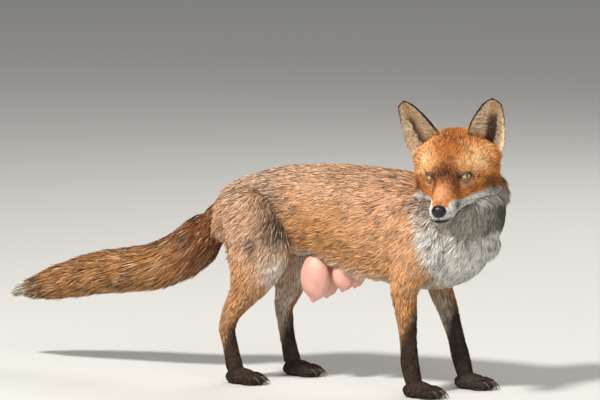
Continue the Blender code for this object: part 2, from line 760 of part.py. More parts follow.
def finish(made):
    """Moves every piece to the part's origin, shades it smooth and gives it its material."""
    palette = {
        "fur_orange": material("fur_orange", FUR_ORANGE, 0.85),
        "fur_tan": material("fur_tan", FUR_TAN, 0.85),
        "fur_brown": material("fur_brown", FUR_BROWN, 0.85),
        "fur_black": material("fur_black", FUR_BLACK, 0.80),
        "fur_white": material("fur_white", FUR_WHITE, 0.85),
        "skin_pink": material("skin_pink", SKIN_PINK, 0.55),
        "nose_black": material("nose_black", NOSE_BLACK, 0.35),
        "eye_amber": material("eye_amber", EYE_AMBER, 0.08),
    }
    for obj in made.values():
        obj.name += ".old"
    for node, obj in made.items():
        obj.name = node
        obj.data.transform(Matrix.Translation(-FOOTPRINT_MIDDLE))
        obj.data.materials.clear()
        obj.data.materials.append(palette[colour_of(node)])
        obj.data.shade_smooth()
        obj.data.set_sharp_from_angle(angle=math.radians(50))


def main():
    clear_scene()
    parts, cutters = collection("red_fox"), collection("cutters")
    cutters.hide_render = True
    made = part_flesh(fuse(parts), parts, cutters)
    add_head_pieces(made, parts, cutters)
    add_glands(made, parts, cutters)
    add_claws(made, parts, cutters)
    finish(made)
    co = np.vstack([np.array([v.co for v in obj.data.vertices]) for obj in made.values()])
    print("bounds", co.min(0).round(4), co.max(0).round(4), "middle", ((co.min(0) + co.max(0)) / 2).round(4))
    for node, obj in made.items():
        print(node, len(obj.data.polygons))


main()
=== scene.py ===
"""A red fox standing still with its head turned aside: one skin, its coat in tufts, and its eyes, nose,
mouth, whiskers, claws, pads and milk glands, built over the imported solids."""

import math

import bpy
import numpy as np
from mathutils import Matrix, Vector


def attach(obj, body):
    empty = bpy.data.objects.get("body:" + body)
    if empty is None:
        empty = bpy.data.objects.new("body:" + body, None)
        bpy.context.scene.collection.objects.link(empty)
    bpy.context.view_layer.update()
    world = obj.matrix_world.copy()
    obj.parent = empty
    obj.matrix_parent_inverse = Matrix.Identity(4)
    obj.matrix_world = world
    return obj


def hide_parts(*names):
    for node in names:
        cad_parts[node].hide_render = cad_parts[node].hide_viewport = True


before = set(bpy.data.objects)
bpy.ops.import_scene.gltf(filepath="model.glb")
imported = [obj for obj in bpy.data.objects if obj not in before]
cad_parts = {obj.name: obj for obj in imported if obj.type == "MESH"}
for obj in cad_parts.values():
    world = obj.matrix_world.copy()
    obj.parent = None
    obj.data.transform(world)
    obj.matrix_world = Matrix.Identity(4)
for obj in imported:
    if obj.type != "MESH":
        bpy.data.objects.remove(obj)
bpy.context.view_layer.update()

bl_info = {
    "name": "Red fox",
    "version": (1, 0, 0),
    "blender": (4, 5, 0),
    "location": "3D View > Sidebar > Fox",
    "description": "Builds the skin, the coat and the small parts of a standing red fox",
    "category": "Object",
}

CM = 0.01
BODY_ZERO = np.array((0.1460, 0.0355, 0.0))  # where the spine's own zero lies in the row's frame
FLOOR_GAP = 0.0012  # the least height of skin and claws over the floor
ROOT_HEIGHT = 0.0035  # no tuft grows below this height
TUFT_GAP = 0.0006  # the least height of a tuft's points
SKIN_SHADE, EAR_SHADE = 0.62, 0.8  # how dark the skin is under the coat and under the ears' hair
SIDES = {"left": 1, "right": -1}

# ---------------------------------------------------------------- the sizes of the fox's forms
# The trunk, from the rump to the front of the chest: x, back line, belly line, half width.
TRUNK = [
    (-0.222, 0.279, 0.236, 0.020),
    (-0.204, 0.2955, 0.210, 0.040),
    (-0.172, 0.314, 0.199, 0.056),
    (-0.130, 0.329, 0.200, 0.062),
    (-0.088, 0.3395, 0.201, 0.060),
    (-0.045, 0.344, 0.193, 0.060),
    (0.000, 0.3455, 0.183, 0.064),
    (0.045, 0.344, 0.170, 0.068),
    (0.090, 0.340, 0.160, 0.070),
    (0.135, 0.331, 0.154, 0.068),
    (0.175, 0.316, 0.160, 0.063),
    (0.208, 0.298, 0.180, 0.056),
    (0.233, 0.274, 0.209, 0.038),
]
TRUNK_TAPER = -0.10

# The neck, from inside the chest to the skull: x, y, z, half width, depth to the nape, depth to the throat.
NECK = [
    (0.122, 0.000, 0.262, 0.056, 0.060, 0.070),
    (0.184, 0.003, 0.275, 0.067, 0.060, 0.080),
    (0.197, 0.002, 0.312, 0.059, 0.052, 0.070),
    (0.193, -0.010, 0.348, 0.050, 0.048, 0.054),
]

# The brush: x, z, radius.
TAIL = [
    (-0.188, 0.278, 0.026),
    (-0.213, 0.249, 0.036),
    (-0.243, 0.215, 0.0445),
    (-0.280, 0.187, 0.045),
    (-0.318, 0.170, 0.0435),
    (-0.362, 0.160, 0.041),
    (-0.415, 0.151, 0.038),
    (-0.465, 0.139, 0.032),
    (-0.510, 0.127, 0.023),
    (-0.545, 0.118, 0.013),
    (-0.566, 0.113, 0.005),
]

# The head, in its own frame, in centimetres: forward from the eyes, top, bottom, half width, taper.
HEAD = [
    (-11.0, 2.2, -5.0, 4.0, 0.15),
    (-9.5, 3.5, -5.9, 5.2, 0.12),
    (-8.0, 4.2, -6.2, 5.9, 0.12),
    (-6.5, 4.5, -6.1, 6.1, 0.16),
    (-5.0, 4.35, -5.7, 6.1, 0.20),
    (-3.5, 3.9, -5.3, 5.5, 0.20),
    (-2.2, 3.3, -5.1, 4.6, 0.20),
    (-1.0, 2.6, -5.0, 3.8, 0.16),
    (0.0, 1.9, -4.95, 3.2, 0.14),
    (1.0, 1.3, -4.95, 2.65, 0.15),
    (2.0, 0.8, -5.0, 2.35, 0.16),
    (3.5, 0.25, -5.0, 2.1, 0.15),
    (5.0, -0.30, -4.95, 1.95, 0.12),
    (6.1, -0.75, -4.75, 1.75, 0.04),
    (6.9, -1.20, -4.2, 1.40, 0.00),
]
HEAD_YAW = math.radians(-80.5)
HEAD_PITCH = math.radians(21)
HEAD_ROLL = math.radians(3.5)
EYE_MIDDLE = (0.207, -0.087, 0.341)  # midway between the eyes: the head frame's zero
EYE_CENTRE = np.array((-0.48, 2.45, 0.0))
EYE_RADIUS = 1.05
NOSE_CENTRE = np.array((7.2, 0.0, -1.98))
NOSE_SIZE = np.array((0.92, 1.10, 1.00))
# The left ear's two edges, from root to tip, in head centimetres.
EAR_INNER = [
    (-6.6, 1.35, 1.7),
    (-6.0, 2.42, 4.5),
    (-5.8, 3.40, 6.4),
    (-5.9, 4.60, 8.05),
    (-6.1, 5.75, 9.2),
    (-6.35, 6.85, 9.72),
]
EAR_OUTER = [
    (-7.3, 5.70, -0.9),
    (-7.2, 7.55, 2.2),
    (-7.1, 7.90, 4.45),
    (-6.9, 8.02, 6.7),
    (-6.6, 7.85, 8.65),
    (-6.35, 6.85, 9.72),
]
EAR_DEPTH = 2.4
# the dark hollow: darker skin with painted shade deep in the ear's cup
EAR_HOLLOWS = (0.62, 0.74)  # where the dark hollow lies across the left and the right ear
EAR_THICKNESS = 0.22
EAR_FACING = math.radians(22)

LEG_SPREAD = 0.053  # how far each leg stands from the middle plane
FORE_SET = {"right": 0.000, "left": 0.040}  # how far forward each side's leg is set
FORE = [  # x, z, share of the set, half width, front, back
    (0.128, 0.288, 0.0, 0.022, 0.038, 0.042),
    (0.152, 0.232, 0.0, 0.027, 0.042, 0.050),
    (0.134, 0.193, 0.1, 0.0265, 0.032, 0.036),
    (0.126, 0.162, 0.3, 0.0215, 0.022, 0.027),
    (0.128, 0.115, 0.6, 0.0165, 0.0165, 0.0185),
    (0.131, 0.072, 0.85, 0.0145, 0.0145, 0.0150),
    (0.132, 0.052, 0.95, 0.0155, 0.0155, 0.0155),
    (0.138, 0.026, 1.0, 0.0150, 0.0140, 0.0150),
]
HIND_SET = {"right": 0.000, "left": 0.048}
HIND = [
    (-0.150, 0.286, 0.0, 0.024, 0.048, 0.044),
    (-0.128, 0.245, 0.0, 0.028, 0.054, 0.056),
    (-0.114, 0.207, 0.1, 0.027, 0.046, 0.062),
    (-0.124, 0.170, 0.3, 0.0240, 0.034, 0.050),
    (-0.145, 0.135, 0.6, 0.0185, 0.021, 0.031),
    (-0.167, 0.106, 0.85, 0.0145, 0.0160, 0.0190),
    (-0.174, 0.088, 1.0, 0.0140, 0.0150, 0.0155),
    (-0.169, 0.055, 1.0, 0.0135, 0.0135, 0.0135),
    (-0.162, 0.026, 1.0, 0.0150, 0.0140, 0.0150),
]
LIMBS = {"fore": (FORE, FORE_SET, 0.150), "hind": (HIND, HIND_SET, -0.148)}  # table, set, the paw's middle
PAW_SIZE = np.array((0.026, 0.0185, 0.0150))
TOE_SIZE = np.array((0.0150, 0.0088, 0.0098))
GLANDS = {  # the milk glands: middle and half sizes
    "rear": ((-0.040, 0.0205, 0.168), (0.0245, 0.0198, 0.0370)),
    "middle": ((0.008, 0.0200, 0.174), (0.0190, 0.0160, 0.0250)),
}

# ---------------------------------------------------------------- colours of the coat
WHITE = np.array((0.84, 0.81, 0.75))
SILVER = np.array((0.62, 0.55, 0.47))
CREAM = np.array((0.84, 0.68, 0.50))
GOLD = np.array((0.86, 0.44, 0.18))
ORANGE = np.array((0.62, 0.225, 0.050))
OCHRE = np.array((0.58, 0.29, 0.115))
RUFOUS = np.array((0.48, 0.145, 0.028))
ROSE_TAN = np.array((0.66, 0.38, 0.225))
HIP_TAN = np.array((0.66, 0.385, 0.23))
BROWN = np.array((0.21, 0.095, 0.04))
DARK = np.array((0.06, 0.032, 0.02))
BLACK = np.array((0.02, 0.016, 0.014))
BRUSH = np.array((0.43, 0.200, 0.071))
DEEP_RED = np.array((0.11, 0.025, 0.006))
THROAT = SILVER * (0.13, 0.14, 0.09)  # white hair deep in the head's shade
EAR_PALE = np.array((0.95, 0.68, 0.45))
EAR_HAIR = (0.95, 0.68, 0.46)  # the long hair across the ears' opening


# ---------------------------------------------------------------- frames and small sums
def head_matrix():
    """The matrix from head coordinates, in metres, to the body's: turned, then held down, then rolled."""
    turn = Matrix.Rotation(HEAD_YAW, 4, "Z") @ Matrix.Rotation(HEAD_PITCH, 4, "Y")
    return np.array(Matrix.Translation(EYE_MIDDLE) @ turn @ Matrix.Rotation(HEAD_ROLL, 4, "X"))


HEAD_FRAME = head_matrix()


def from_head(points):
    """Head coordinates in centimetres taken to the body's in metres."""
    return points * CM @ HEAD_FRAME[:3, :3].T + HEAD_FRAME[:3, 3]


def to_head(points):
    """The body's coordinates in metres taken to head coordinates in centimetres."""
    return (points - HEAD_FRAME[:3, 3]) @ HEAD_FRAME[:3, :3] / CM


def unit(vectors):
    return vectors / np.maximum(np.linalg.norm(vectors, axis=-1, keepdims=True), 1e-9)


def step(value, low, high):
    """0 below low, 1 above high, and an S-shaped cubic between them."""
    t = np.clip((value - low) / (high - low), 0.0, 1.0)
    return t * t * (3 - 2 * t)


def bell(points, centre, size):
    """A bell about a point: e to minus the squared distance, each axis measured in its own size."""
    return np.exp(-(((points - np.array(centre)) / np.array(size)) ** 2).sum(1))


def blend(first, second, share):
    """The first value where the share is 0 and the second where it is 1."""
    return first * (1 - share) + second * share


def mix(first, second, share):
    """The same for rows of colours or directions, with one share a row."""
    return blend(first, second, np.asarray(share)[..., None])


def layered(rows, *layers):
    """Rows of colours or directions with layers laid over them in turn: each is a value and its share."""
    for value, share in layers:
        rows = mix(rows, value, share)
    return rows


def marked(rows, points, marks):
    """Rows of colours with a table's spots laid over them in turn: middle, half sizes, colour, strength."""
    return layered(rows, *((tint, share * bell(points, middle, size)) for middle, size, tint, share in marks))


def peak(value, centre, size, power=2):
    """A bell over one number: e to minus the distance from the centre, in sizes, to an even power."""
    return np.exp(-(((value - centre) / size) ** power))


def folded(points):
    """The points with those on the right brought over to the left."""
    x, y, z = points.T
    return columns(x, np.abs(y), z)


def columns(*values):
    """Numbers and columns side by side, as rows."""
    return np.stack(np.broadcast_arrays(*values), axis=-1)


def ripple(points, wavelength, seed):
    """A smooth irregular field of three components: each is a sum of five sine waves in set directions."""
    rng = np.random.default_rng(seed)
    waves = unit(rng.normal(size=(5, 3))) * (2 * math.pi / wavelength) * rng.uniform(0.7, 1.5, (5, 1))
    phase = points @ waves.T
    return np.stack([np.sin(phase + rng.uniform(0, 6.3, 5)).sum(1) / 2.5 for _ in range(3)], axis=1)


def line_distance(points, line):
    """The distance of each point from the nearest of many points along a line."""
    line = spline(line, 60)
    far = (points**2).sum(1)[:, None] - 2 * points @ line.T + (line**2).sum(1)[None]
    return np.sqrt(np.maximum(far.min(1), 0))


# ---------------------------------------------------------------- surfaces
NO_TRIS = np.zeros((0, 3), int)


def spline(rows, count):
    """Rows read as one smooth curve: cubic pieces between them, whose slopes are central differences."""
    rows = np.array(rows, float)
    steps = np.linalg.norm(np.diff(rows[:, :3], axis=0), axis=1)
    knots = np.concatenate([[0.0], np.cumsum(steps)])
    slopes = np.gradient(rows, knots, axis=0)
    at = np.linspace(0.0, knots[-1], count)
    i = np.clip(np.searchsorted(knots, at, side="right") - 1, 0, len(rows) - 2)
    span = (knots[i + 1] - knots[i])[:, None]
    t = (at[:, None] - knots[i][:, None]) / span
    start, end = rows[i], rows[i + 1]
    leave, arrive = slopes[i] * span, slopes[i + 1] * span
    bend = (3 * t**2 - 2 * t**3, t**3 - 2 * t**2 + t, t**3 - t**2)
    return start * (1 - bend[0]) + end * bend[0] + leave * bend[1] + arrive * bend[2]


def closed_grid(points, poles):
    """Rings joined in order, with a fan to a pole at each end: vertices, quads and triangles."""
    rings, around = points.shape[:2]
    ring = np.arange(around)
    after = (ring + 1) % around
    base = np.arange(rings - 1)[:, None] * around
    quads = columns(base + ring, base + after, base + around + after, base + around + ring).reshape(-1, 4)
    last = (rings - 1) * around
    first_fan = columns(rings * around, after, ring)
    last_fan = columns(rings * around + 1, last + ring, last + after)
    return np.vstack([points.reshape(-1, 3), np.array(poles)]), quads, np.vstack([first_fan, last_fan])


def ring_grid(points):
    """A grid closed both ways, as a bent tube's: vertices, quads and no triangles."""
    rings, around = points.shape[:2]
    i, j = np.meshgrid(np.arange(rings), np.arange(around), indexing="ij")
    k, m = (i + 1) % rings, (j + 1) % around
    quads = columns(i * around + j, i * around + m, k * around + m, k * around + j).reshape(-1, 4)
    return points.reshape(-1, 3), quads, NO_TRIS


def loft(rows, rings, around, side=(0.0, 1.0, 0.0), cap=0.6):
    """A closed skin of egg-shaped rings along a path. A row is centre, half width, height above, height
    below and taper. Each ring stands square to the path, and round domes close both ends."""
    curve = spline(rows, rings)
    centres, sizes = curve[:, :3], curve[:, 3:]
    ahead = unit(np.gradient(centres, axis=0))
    dome = np.radians(np.arange(20, 90, 22))
    caps = []
    for end, sign in ((0, -1), (-1, 1)):
        reach = cap * sizes[end, :3].min() * sign
        more = centres[end] + np.outer(np.sin(dome) * reach, ahead[end])
        shrunk = np.hstack([np.outer(np.cos(dome), sizes[end, :3]), np.full((len(dome), 1), sizes[end, 3])])
        caps.append((more, shrunk, np.repeat(ahead[end][None], len(dome), axis=0)))
    spans = zip(caps[0], (centres, sizes, ahead), caps[1])
    centres, sizes, ahead = (np.vstack([first[::-1], middle, last]) for first, middle, last in spans)
    across = unit(np.array(side) - (ahead @ np.array(side))[:, None] * ahead)
    rise = np.cross(ahead, across)
    angle = np.linspace(0, 2 * math.pi, around, endpoint=False)
    cosine, sine = np.cos(angle), np.sin(angle)
    width = sizes[:, :1] * cosine * (1 - sizes[:, 3:4] * sine)
    height = np.where(sine > 0, sizes[:, 1:2], sizes[:, 2:3]) * sine
    points = centres[:, None] + width[..., None] * across[:, None] + height[..., None] * rise[:, None]
    poles = [centres[end] + sign * ahead[end] * cap * 0.1 * sizes[end, 0] for end, sign in ((0, -1), (-1, 1))]
    return closed_grid(points, poles)


def ball(centre, size, rings=9, around=14):
    """An ellipsoid: circles of latitude scaled by the three half sizes."""
    tilt = np.linspace(-math.pi / 2, math.pi / 2, rings + 2)[1:-1]
    angle = np.linspace(0, 2 * math.pi, around, endpoint=False)
    flat = np.stack([np.outer(np.cos(tilt), np.cos(angle)), np.outer(np.cos(tilt), np.sin(angle))], axis=-1)
    points = np.concatenate([flat, np.repeat(np.sin(tilt)[:, None, None], around, axis=1)], axis=-1)
    vertices, quads, tris = closed_grid(points, [(0, 0, -1), (0, 0, 1)])
    return vertices * np.array(size) + np.array(centre), quads, tris


def tapered_tube(path, radii, around=8):
    """A round tube of changing radius along a path of points, closed by points at both ends."""
    ahead = unit(np.gradient(path, axis=0))
    helper = np.where(np.abs(ahead[:, :1]) < 0.8, [[1.0, 0, 0]], [[0, 1.0, 0]])
    across = unit(np.cross(ahead, helper))
    rise = np.cross(ahead, across)
    angle = np.linspace(0, 2 * math.pi, around, endpoint=False)
    ring = across[:, None] * np.cos(angle)[None, :, None] + rise[:, None] * np.sin(angle)[None, :, None]
    return closed_grid(path[:, None] + ring * radii[:, None, None], [path[0], path[-1]])


def joined(shapes):
    """Several shapes as one: their vertices in order, and their faces numbered to match."""
    start = np.cumsum([0] + [len(shape[0]) for shape in shapes[:-1]])
    points = np.vstack([shape[0] for shape in shapes])
    faces = (np.vstack([shape[i] + begin for shape, begin in zip(shapes, start)]) for i in (1, 2))
    return points, *faces


def mirrored(shape):
    """The shape's mirror image across the middle plane, with its faces still outwards."""
    vertices, quads, tris = shape
    return vertices * (1, -1, 1), quads[:, ::-1], tris[:, ::-1]


def on_body(shape):
    """A shape in head centimetres taken to the body's metres."""
    return from_head(shape[0]), *shape[1:]


def mesh_object(name, shape, settle=BODY_ZERO):
    """A mesh from whole arrays, moved from the body's zero to the row's."""
    vertices, quads, tris = shape
    mesh = bpy.data.meshes.new(name)
    mesh.vertices.add(len(vertices))
    mesh.vertices.foreach_set("co", (vertices + settle).astype(np.float32).ravel())
    corners = np.concatenate([quads.ravel(), tris.ravel()]).astype(np.int32)
    starts = np.concatenate([np.arange(len(quads)) * 4, len(quads) * 4 + np.arange(len(tris)) * 3])
    mesh.loops.add(len(corners))
    mesh.loops.foreach_set("vertex_index", corners)
    mesh.polygons.add(len(starts))
    mesh.polygons.foreach_set("loop_start", starts.astype(np.int32))
    mesh.update(calc_edges=True)
    mesh.shade_smooth()
    obj = bpy.data.objects.new(name, mesh)
    bpy.context.scene.collection.objects.link(obj)
    return obj


def paint(obj, name, colours):
    """A colour for each vertex, as an attribute that a material reads."""
    layer = obj.data.attributes.new(name, "FLOAT_COLOR", "POINT")
    rgba = np.ones((len(colours), 4), np.float32)
    rgba[:, :3] = colours
    layer.data.foreach_set("color", rgba.ravel())


def map_corners(obj, name, uv):
    """A UV map from a pair of numbers for each corner of each face."""
    obj.data.uv_layers.new(name=name).data.foreach_set("uv", uv.astype(np.float32).ravel())


def read(items, name, width=1, kind=np.float32):
    """One property of all of a mesh's points, corners or faces, as rows where it has several numbers."""
    values = np.empty(len(items) * width, kind)
    items.foreach_get(name, values)
    return values.reshape(-1, width) if width > 1 else values


def corner_vertices(mesh):
    return read(mesh.loops, "vertex_index", kind=np.int32)


def finished(obj, slot, material, *nodes):
    """Gives the piece its material and its body, and hides the solids that it stands for. Its slot is not
    used.
    """
    obj.data.materials.append(material)
    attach(obj, "root")
    if nodes:
        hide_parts(*nodes)
    return obj


# ---------------------------------------------------------------- the body's lines, which the coat follows
LINE_POINTS = 48


def body_lines():
    """Each part's middle line, as points, radii and directions: trunk, neck, tail, head and the four legs."""
    tables = {
        "trunk": [(x, 0, (top + low) / 2, half * 0.5 + (top - low) / 4) for x, top, low, half in TRUNK],
        "neck": [(x, y, z, half) for x, y, z, half, _, _ in NECK],
        "tail": [(x, 0, z, radius) for x, z, radius in TAIL],
    }
    head = np.array([(x, 0, (top + low) / 2) for x, top, low, _, _ in HEAD])
    sizes = [(half / 2 + (top - low) / 4) * CM for _, top, low, half, _ in HEAD]
    tables["head"] = np.hstack([from_head(head), np.array(sizes)[:, None]])
    for kind, (table, offset, paw) in LIMBS.items():
        for name, side in SIDES.items():
            shift, y = offset[name], LEG_SPREAD * side
            rows = [
                (x + shift * share, y, z, half / 2 + (front + back) / 4)
                for x, z, share, half, front, back in table
            ]
            x = paw + shift
            tables[f"{kind}_{name}"] = rows + [(x, y, 0.014, 0.017), (x + 0.028, y, 0.009, 0.013)]
    lines = {}
    for name, table in tables.items():
        curve = spline(table, LINE_POINTS)
        lines[name] = (curve[:, :3], curve[:, 3], unit(np.gradient(curve[:, :3], axis=0)))
    return lines


LINES = body_lines()
LINE_NAMES = list(LINES)
LEGS = [name for name in LINE_NAMES if name.startswith(("fore", "hind"))]


class Place:
    """Where points lie by every middle line: distance in radii, share of the length, and angle around it.

    A point inside the head's own forms belongs to the head, even where the shoulder is near.
    """

    def __init__(self, points):
        far, along, turn, ahead = [], [], [], []
        for middle, radii, way in LINES.values():
            squared = (points**2).sum(1)[:, None] - 2 * points @ middle.T + (middle**2).sum(1)[None]
            near = squared.argmin(1)
            off = points - middle[near]
            pace = np.linalg.norm(middle[1] - middle[0])
            slide = np.clip((off * way[near]).sum(1) / pace, -0.5, 0.5)
            across = unit(np.array((0.0, 1.0, 0.0)) - way[near] * way[near][:, 1:2])
            rise = np.cross(way[near], across)
            far.append(np.linalg.norm(off, axis=1) / radii[near])
            along.append((near + slide) / (len(middle) - 1))
            turn.append(np.arctan2((off * across).sum(1), -(off * rise).sum(1)) / (2 * math.pi) + 0.5)
            ahead.append(way[near])
        self.far, self.along, self.turn = (np.array(value).T for value in (far, along, turn))
        self.ahead = np.array(ahead)
        head, table = to_head(points), np.array(HEAD)
        x, aside, high = head.T
        half, top, low = (np.interp(x, table[:, 0], table[:, i]) for i in (3, 1, 2))
        inside = np.maximum(np.abs(aside) / half, np.abs(2 * high - top - low) / (top - low))
        own = (1 - step(inside, 1.06, 1.18)) * step(x - 3.2 * (aside < 0), -8.5, -7.0)
        self.far[:, LINE_NAMES.index("head")] -= 0.6 * (own * (1 - step(x, 8.5, 9.5)))
        self.owner = self.far.argmin(1)
        weight = np.exp(-(self.far - self.far.min(1)[:, None]) / 0.11)
        self.weight = weight / weight.sum(1)[:, None]

    def of(self, name):
        """One line's share of each point, with the share of its length and its direction there."""
        i = LINE_NAMES.index(name)
        return self.weight[:, i], self.along[:, i], self.ahead[i]


COATS = ["coat_" + part for part in ("face", "head", "neck", "chest", "flank", "hips", "tail", "legs")]
FACE, CROWN, NECK_RUFF, CHEST, FLANK, HIPS, TAIL_BRUSH, STOCKINGS = range(8)


def regions(points, place):
    """Which piece of the coat covers each point: by its middle line, and along the trunk by its place."""
    names = np.array(LINE_NAMES)[place.owner]
    x, _, z = points.T
    region = np.where(x > 0.075, CHEST, np.where(x > -0.060, FLANK, HIPS))
    head, leg, upper = names == "head", np.isin(names, LEGS), z > 0.165
    region[head] = np.where(to_head(points)[head][:, 0] > -2.6, FACE, CROWN)
    region[names == "neck"] = NECK_RUFF
    region[names == "tail"] = TAIL_BRUSH
    region[leg & ~upper] = STOCKINGS
    region[leg & upper] = np.where(x < 0.02, HIPS, CHEST)[leg & upper]
    return region


# ---------------------------------------------------------------- the eyes' frame
def eye_axes():
    """The left eye's outward axis, the line from its inner to its outer corner, and its upward line."""
    axis = unit(np.array((0.75, 0.59, 0.27)))
    across = np.array((-0.62, 0.78, -0.14))
    across = unit(across - (across @ axis) * axis)
    return axis, across, np.cross(axis, across)


EYE_AXES = eye_axes()
LID_REACH, LID_UP, LID_DOWN = (math.radians(angle) for angle in (56, 20, 17))
SOCKET_UP, SOCKET_DOWN = math.radians(24), math.radians(20)
EYE_NEAR = 2.1  # how far from the eye's middle its opening is looked for
NOT_NEAR = 9.0  # the distance from the opening that is given beyond that


def eye_point(ahead, aside, above, radius):
    """A point by its shares of the left eye's three lines, at a distance from the eye's middle."""
    way = sum(line * share[..., None] for line, share in zip(EYE_AXES, (ahead, aside, above)))
    return EYE_CENTRE + way * np.asarray(radius)[..., None]


def on_eye(alpha, beta, radius):
    """The point at angles across and up from the left eye's axis, at a distance from its middle."""
    return eye_point(np.cos(alpha) * np.cos(beta), np.sin(alpha) * np.cos(beta), np.sin(beta), radius)


def from_eye(head_points):
    """How far points lie from the nearer eye's opening, 1 on its rim, and their distance from its middle."""
    off = folded(head_points) - EYE_CENTRE
    radius = np.linalg.norm(off, axis=1)
    axis, across, up = EYE_AXES
    alpha = np.arctan2(off @ across, off @ axis)
    beta = np.arcsin(np.clip(off @ up / np.maximum(radius, 1e-6), -1, 1))
    reach = np.hypot(alpha / LID_REACH, beta / np.where(beta > 0, SOCKET_UP, SOCKET_DOWN))
    return np.where((off @ axis > 0) & (radius < EYE_NEAR), reach, NOT_NEAR), radius


def eye_middles(head):
    """The middle of the eye on each point's side."""
    return EYE_CENTRE * columns(1.0, np.sign(head[:, 1]), 1.0)


# ---------------------------------------------------------------- markings
SIDE_MARKS = [  # spots on both sides of the body
    ((-0.205, 0.030, 0.272), (0.026, 0.060, 0.030), ORANGE, 0.55),
    ((-0.150, 0.070, 0.163), (0.036, 0.050, 0.036), ORANGE, 0.75),
    # the next three: painted shade down the front of the thigh
    ((-0.096, 0.062, 0.292), (0.018, 0.030, 0.024), DARK * 0.6, 0.80),
    ((-0.086, 0.064, 0.252), (0.019, 0.030, 0.036), DARK * 0.4, 1.0),
    ((-0.116, 0.080, 0.224), (0.009, 0.030, 0.018), DARK * 0.7, 1.0),
    ((-0.066, 0.050, 0.202), (0.012, 0.045, 0.022), CREAM, 0.85),
    ((-0.082, 0.056, 0.170), (0.022, 0.050, 0.040), WHITE * 1.05, 1.0),
    ((0.100, 0.075, 0.255), (0.060, 0.050, 0.060), ROSE_TAN * 1.16, 0.65),
    ((0.140, 0.078, 0.215), (0.030, 0.040, 0.045), ROSE_TAN, 0.45),
]
FACE_MARKS = [  # spots on both sides of the head, in centimetres
    ((-4.5, 0.0, 4.0), (4.6, 2.4, 3.2), RUFOUS * (0.72, 0.62, 0.40), 0.95),
    ((-7.0, 3.2, 3.6), (1.6, 1.6, 1.4), GOLD, 0.6),
    ((-2.5, 3.9, 1.3), (2.8, 1.8, 1.8), (0.95, 0.54, 0.27), 1.0),
    ((-0.4, 2.5, 1.8), (1.2, 1.1, 0.6), (0.92, 0.52, 0.22), 0.9),
    ((5.0, 0.0, -0.3), (2.4, 1.15, 1.3), (0.72, 0.35, 0.175), 0.95),
    ((1.3, 0.0, 1.2), (1.9, 2.00, 1.9), DEEP_RED * 0.5, 1.0),
    ((2.2, 1.35, 0.3), (1.3, 0.5, 0.8), DEEP_RED, 0.95),
    ((3.2, 1.55, -0.6), (2.0, 0.30, 0.5), DEEP_RED, 0.50),
    ((-1.2, 4.2, -0.6), (1.6, 0.9, 0.5), RUFOUS * 0.7, 0.75),
    # painted shade on the cheek behind the eye, above the white band
    ((-3.0, 4.8, -1.9), (2.6, 1.4, 0.7), BROWN * 0.6, 0.85),
    ((-0.4, 3.6, -1.6), (1.2, 0.9, 0.6), RUFOUS, 0.8),
    ((0.3, 3.0, -0.95), (1.0, 0.8, 0.28), CREAM * (0.95, 0.88, 0.85), 0.75),
    ((1.3, 1.95, -0.45), (0.65, 0.5, 0.5), (0.40, 0.29, 0.29), 0.85),
    ((-6.9, 6.3, 0.8), (1.2, 1.2, 1.4), ORANGE * 0.8, 0.7),
    # painted shade on the side of the neck behind the cheeks
    ((-9.5, 6.0, -1.5), (2.2, 2.6, 3.2), BROWN * 1.6, 0.7),
]
WHITE_EDGE = [  # forward, and the height below which the cheeks and lips are white
    (-10.0, -6.0), (-8.0, -5.1), (-6.0, -4.2), (-5.0, -3.6), (-4.0, -3.0), (-2.5, -2.65), (-1.0, -2.45),
    (0.0, -2.4), (1.0, -2.65), (2.0, -2.45), (3.0, -2.0), (4.7, -1.4), (6.2, -0.95), (7.5, -0.7),
]
TEAR_LINE = [(1.3, 1.75, 0.0), (2.1, 1.95, -0.7), (2.7, 2.1, -1.2)]
MOUTH_LINE = [
    (7.80, 0.0, -3.38), (7.45, 0.80, -3.48), (6.6, 1.35, -3.70), (5.2, 1.72, -3.95), (3.6, 1.85, -4.10),
    (2.2, 2.15, -4.05), (1.0, 2.5, -3.8),
]
NAPE = mix(ORANGE, ROSE_TAN, 0.45)


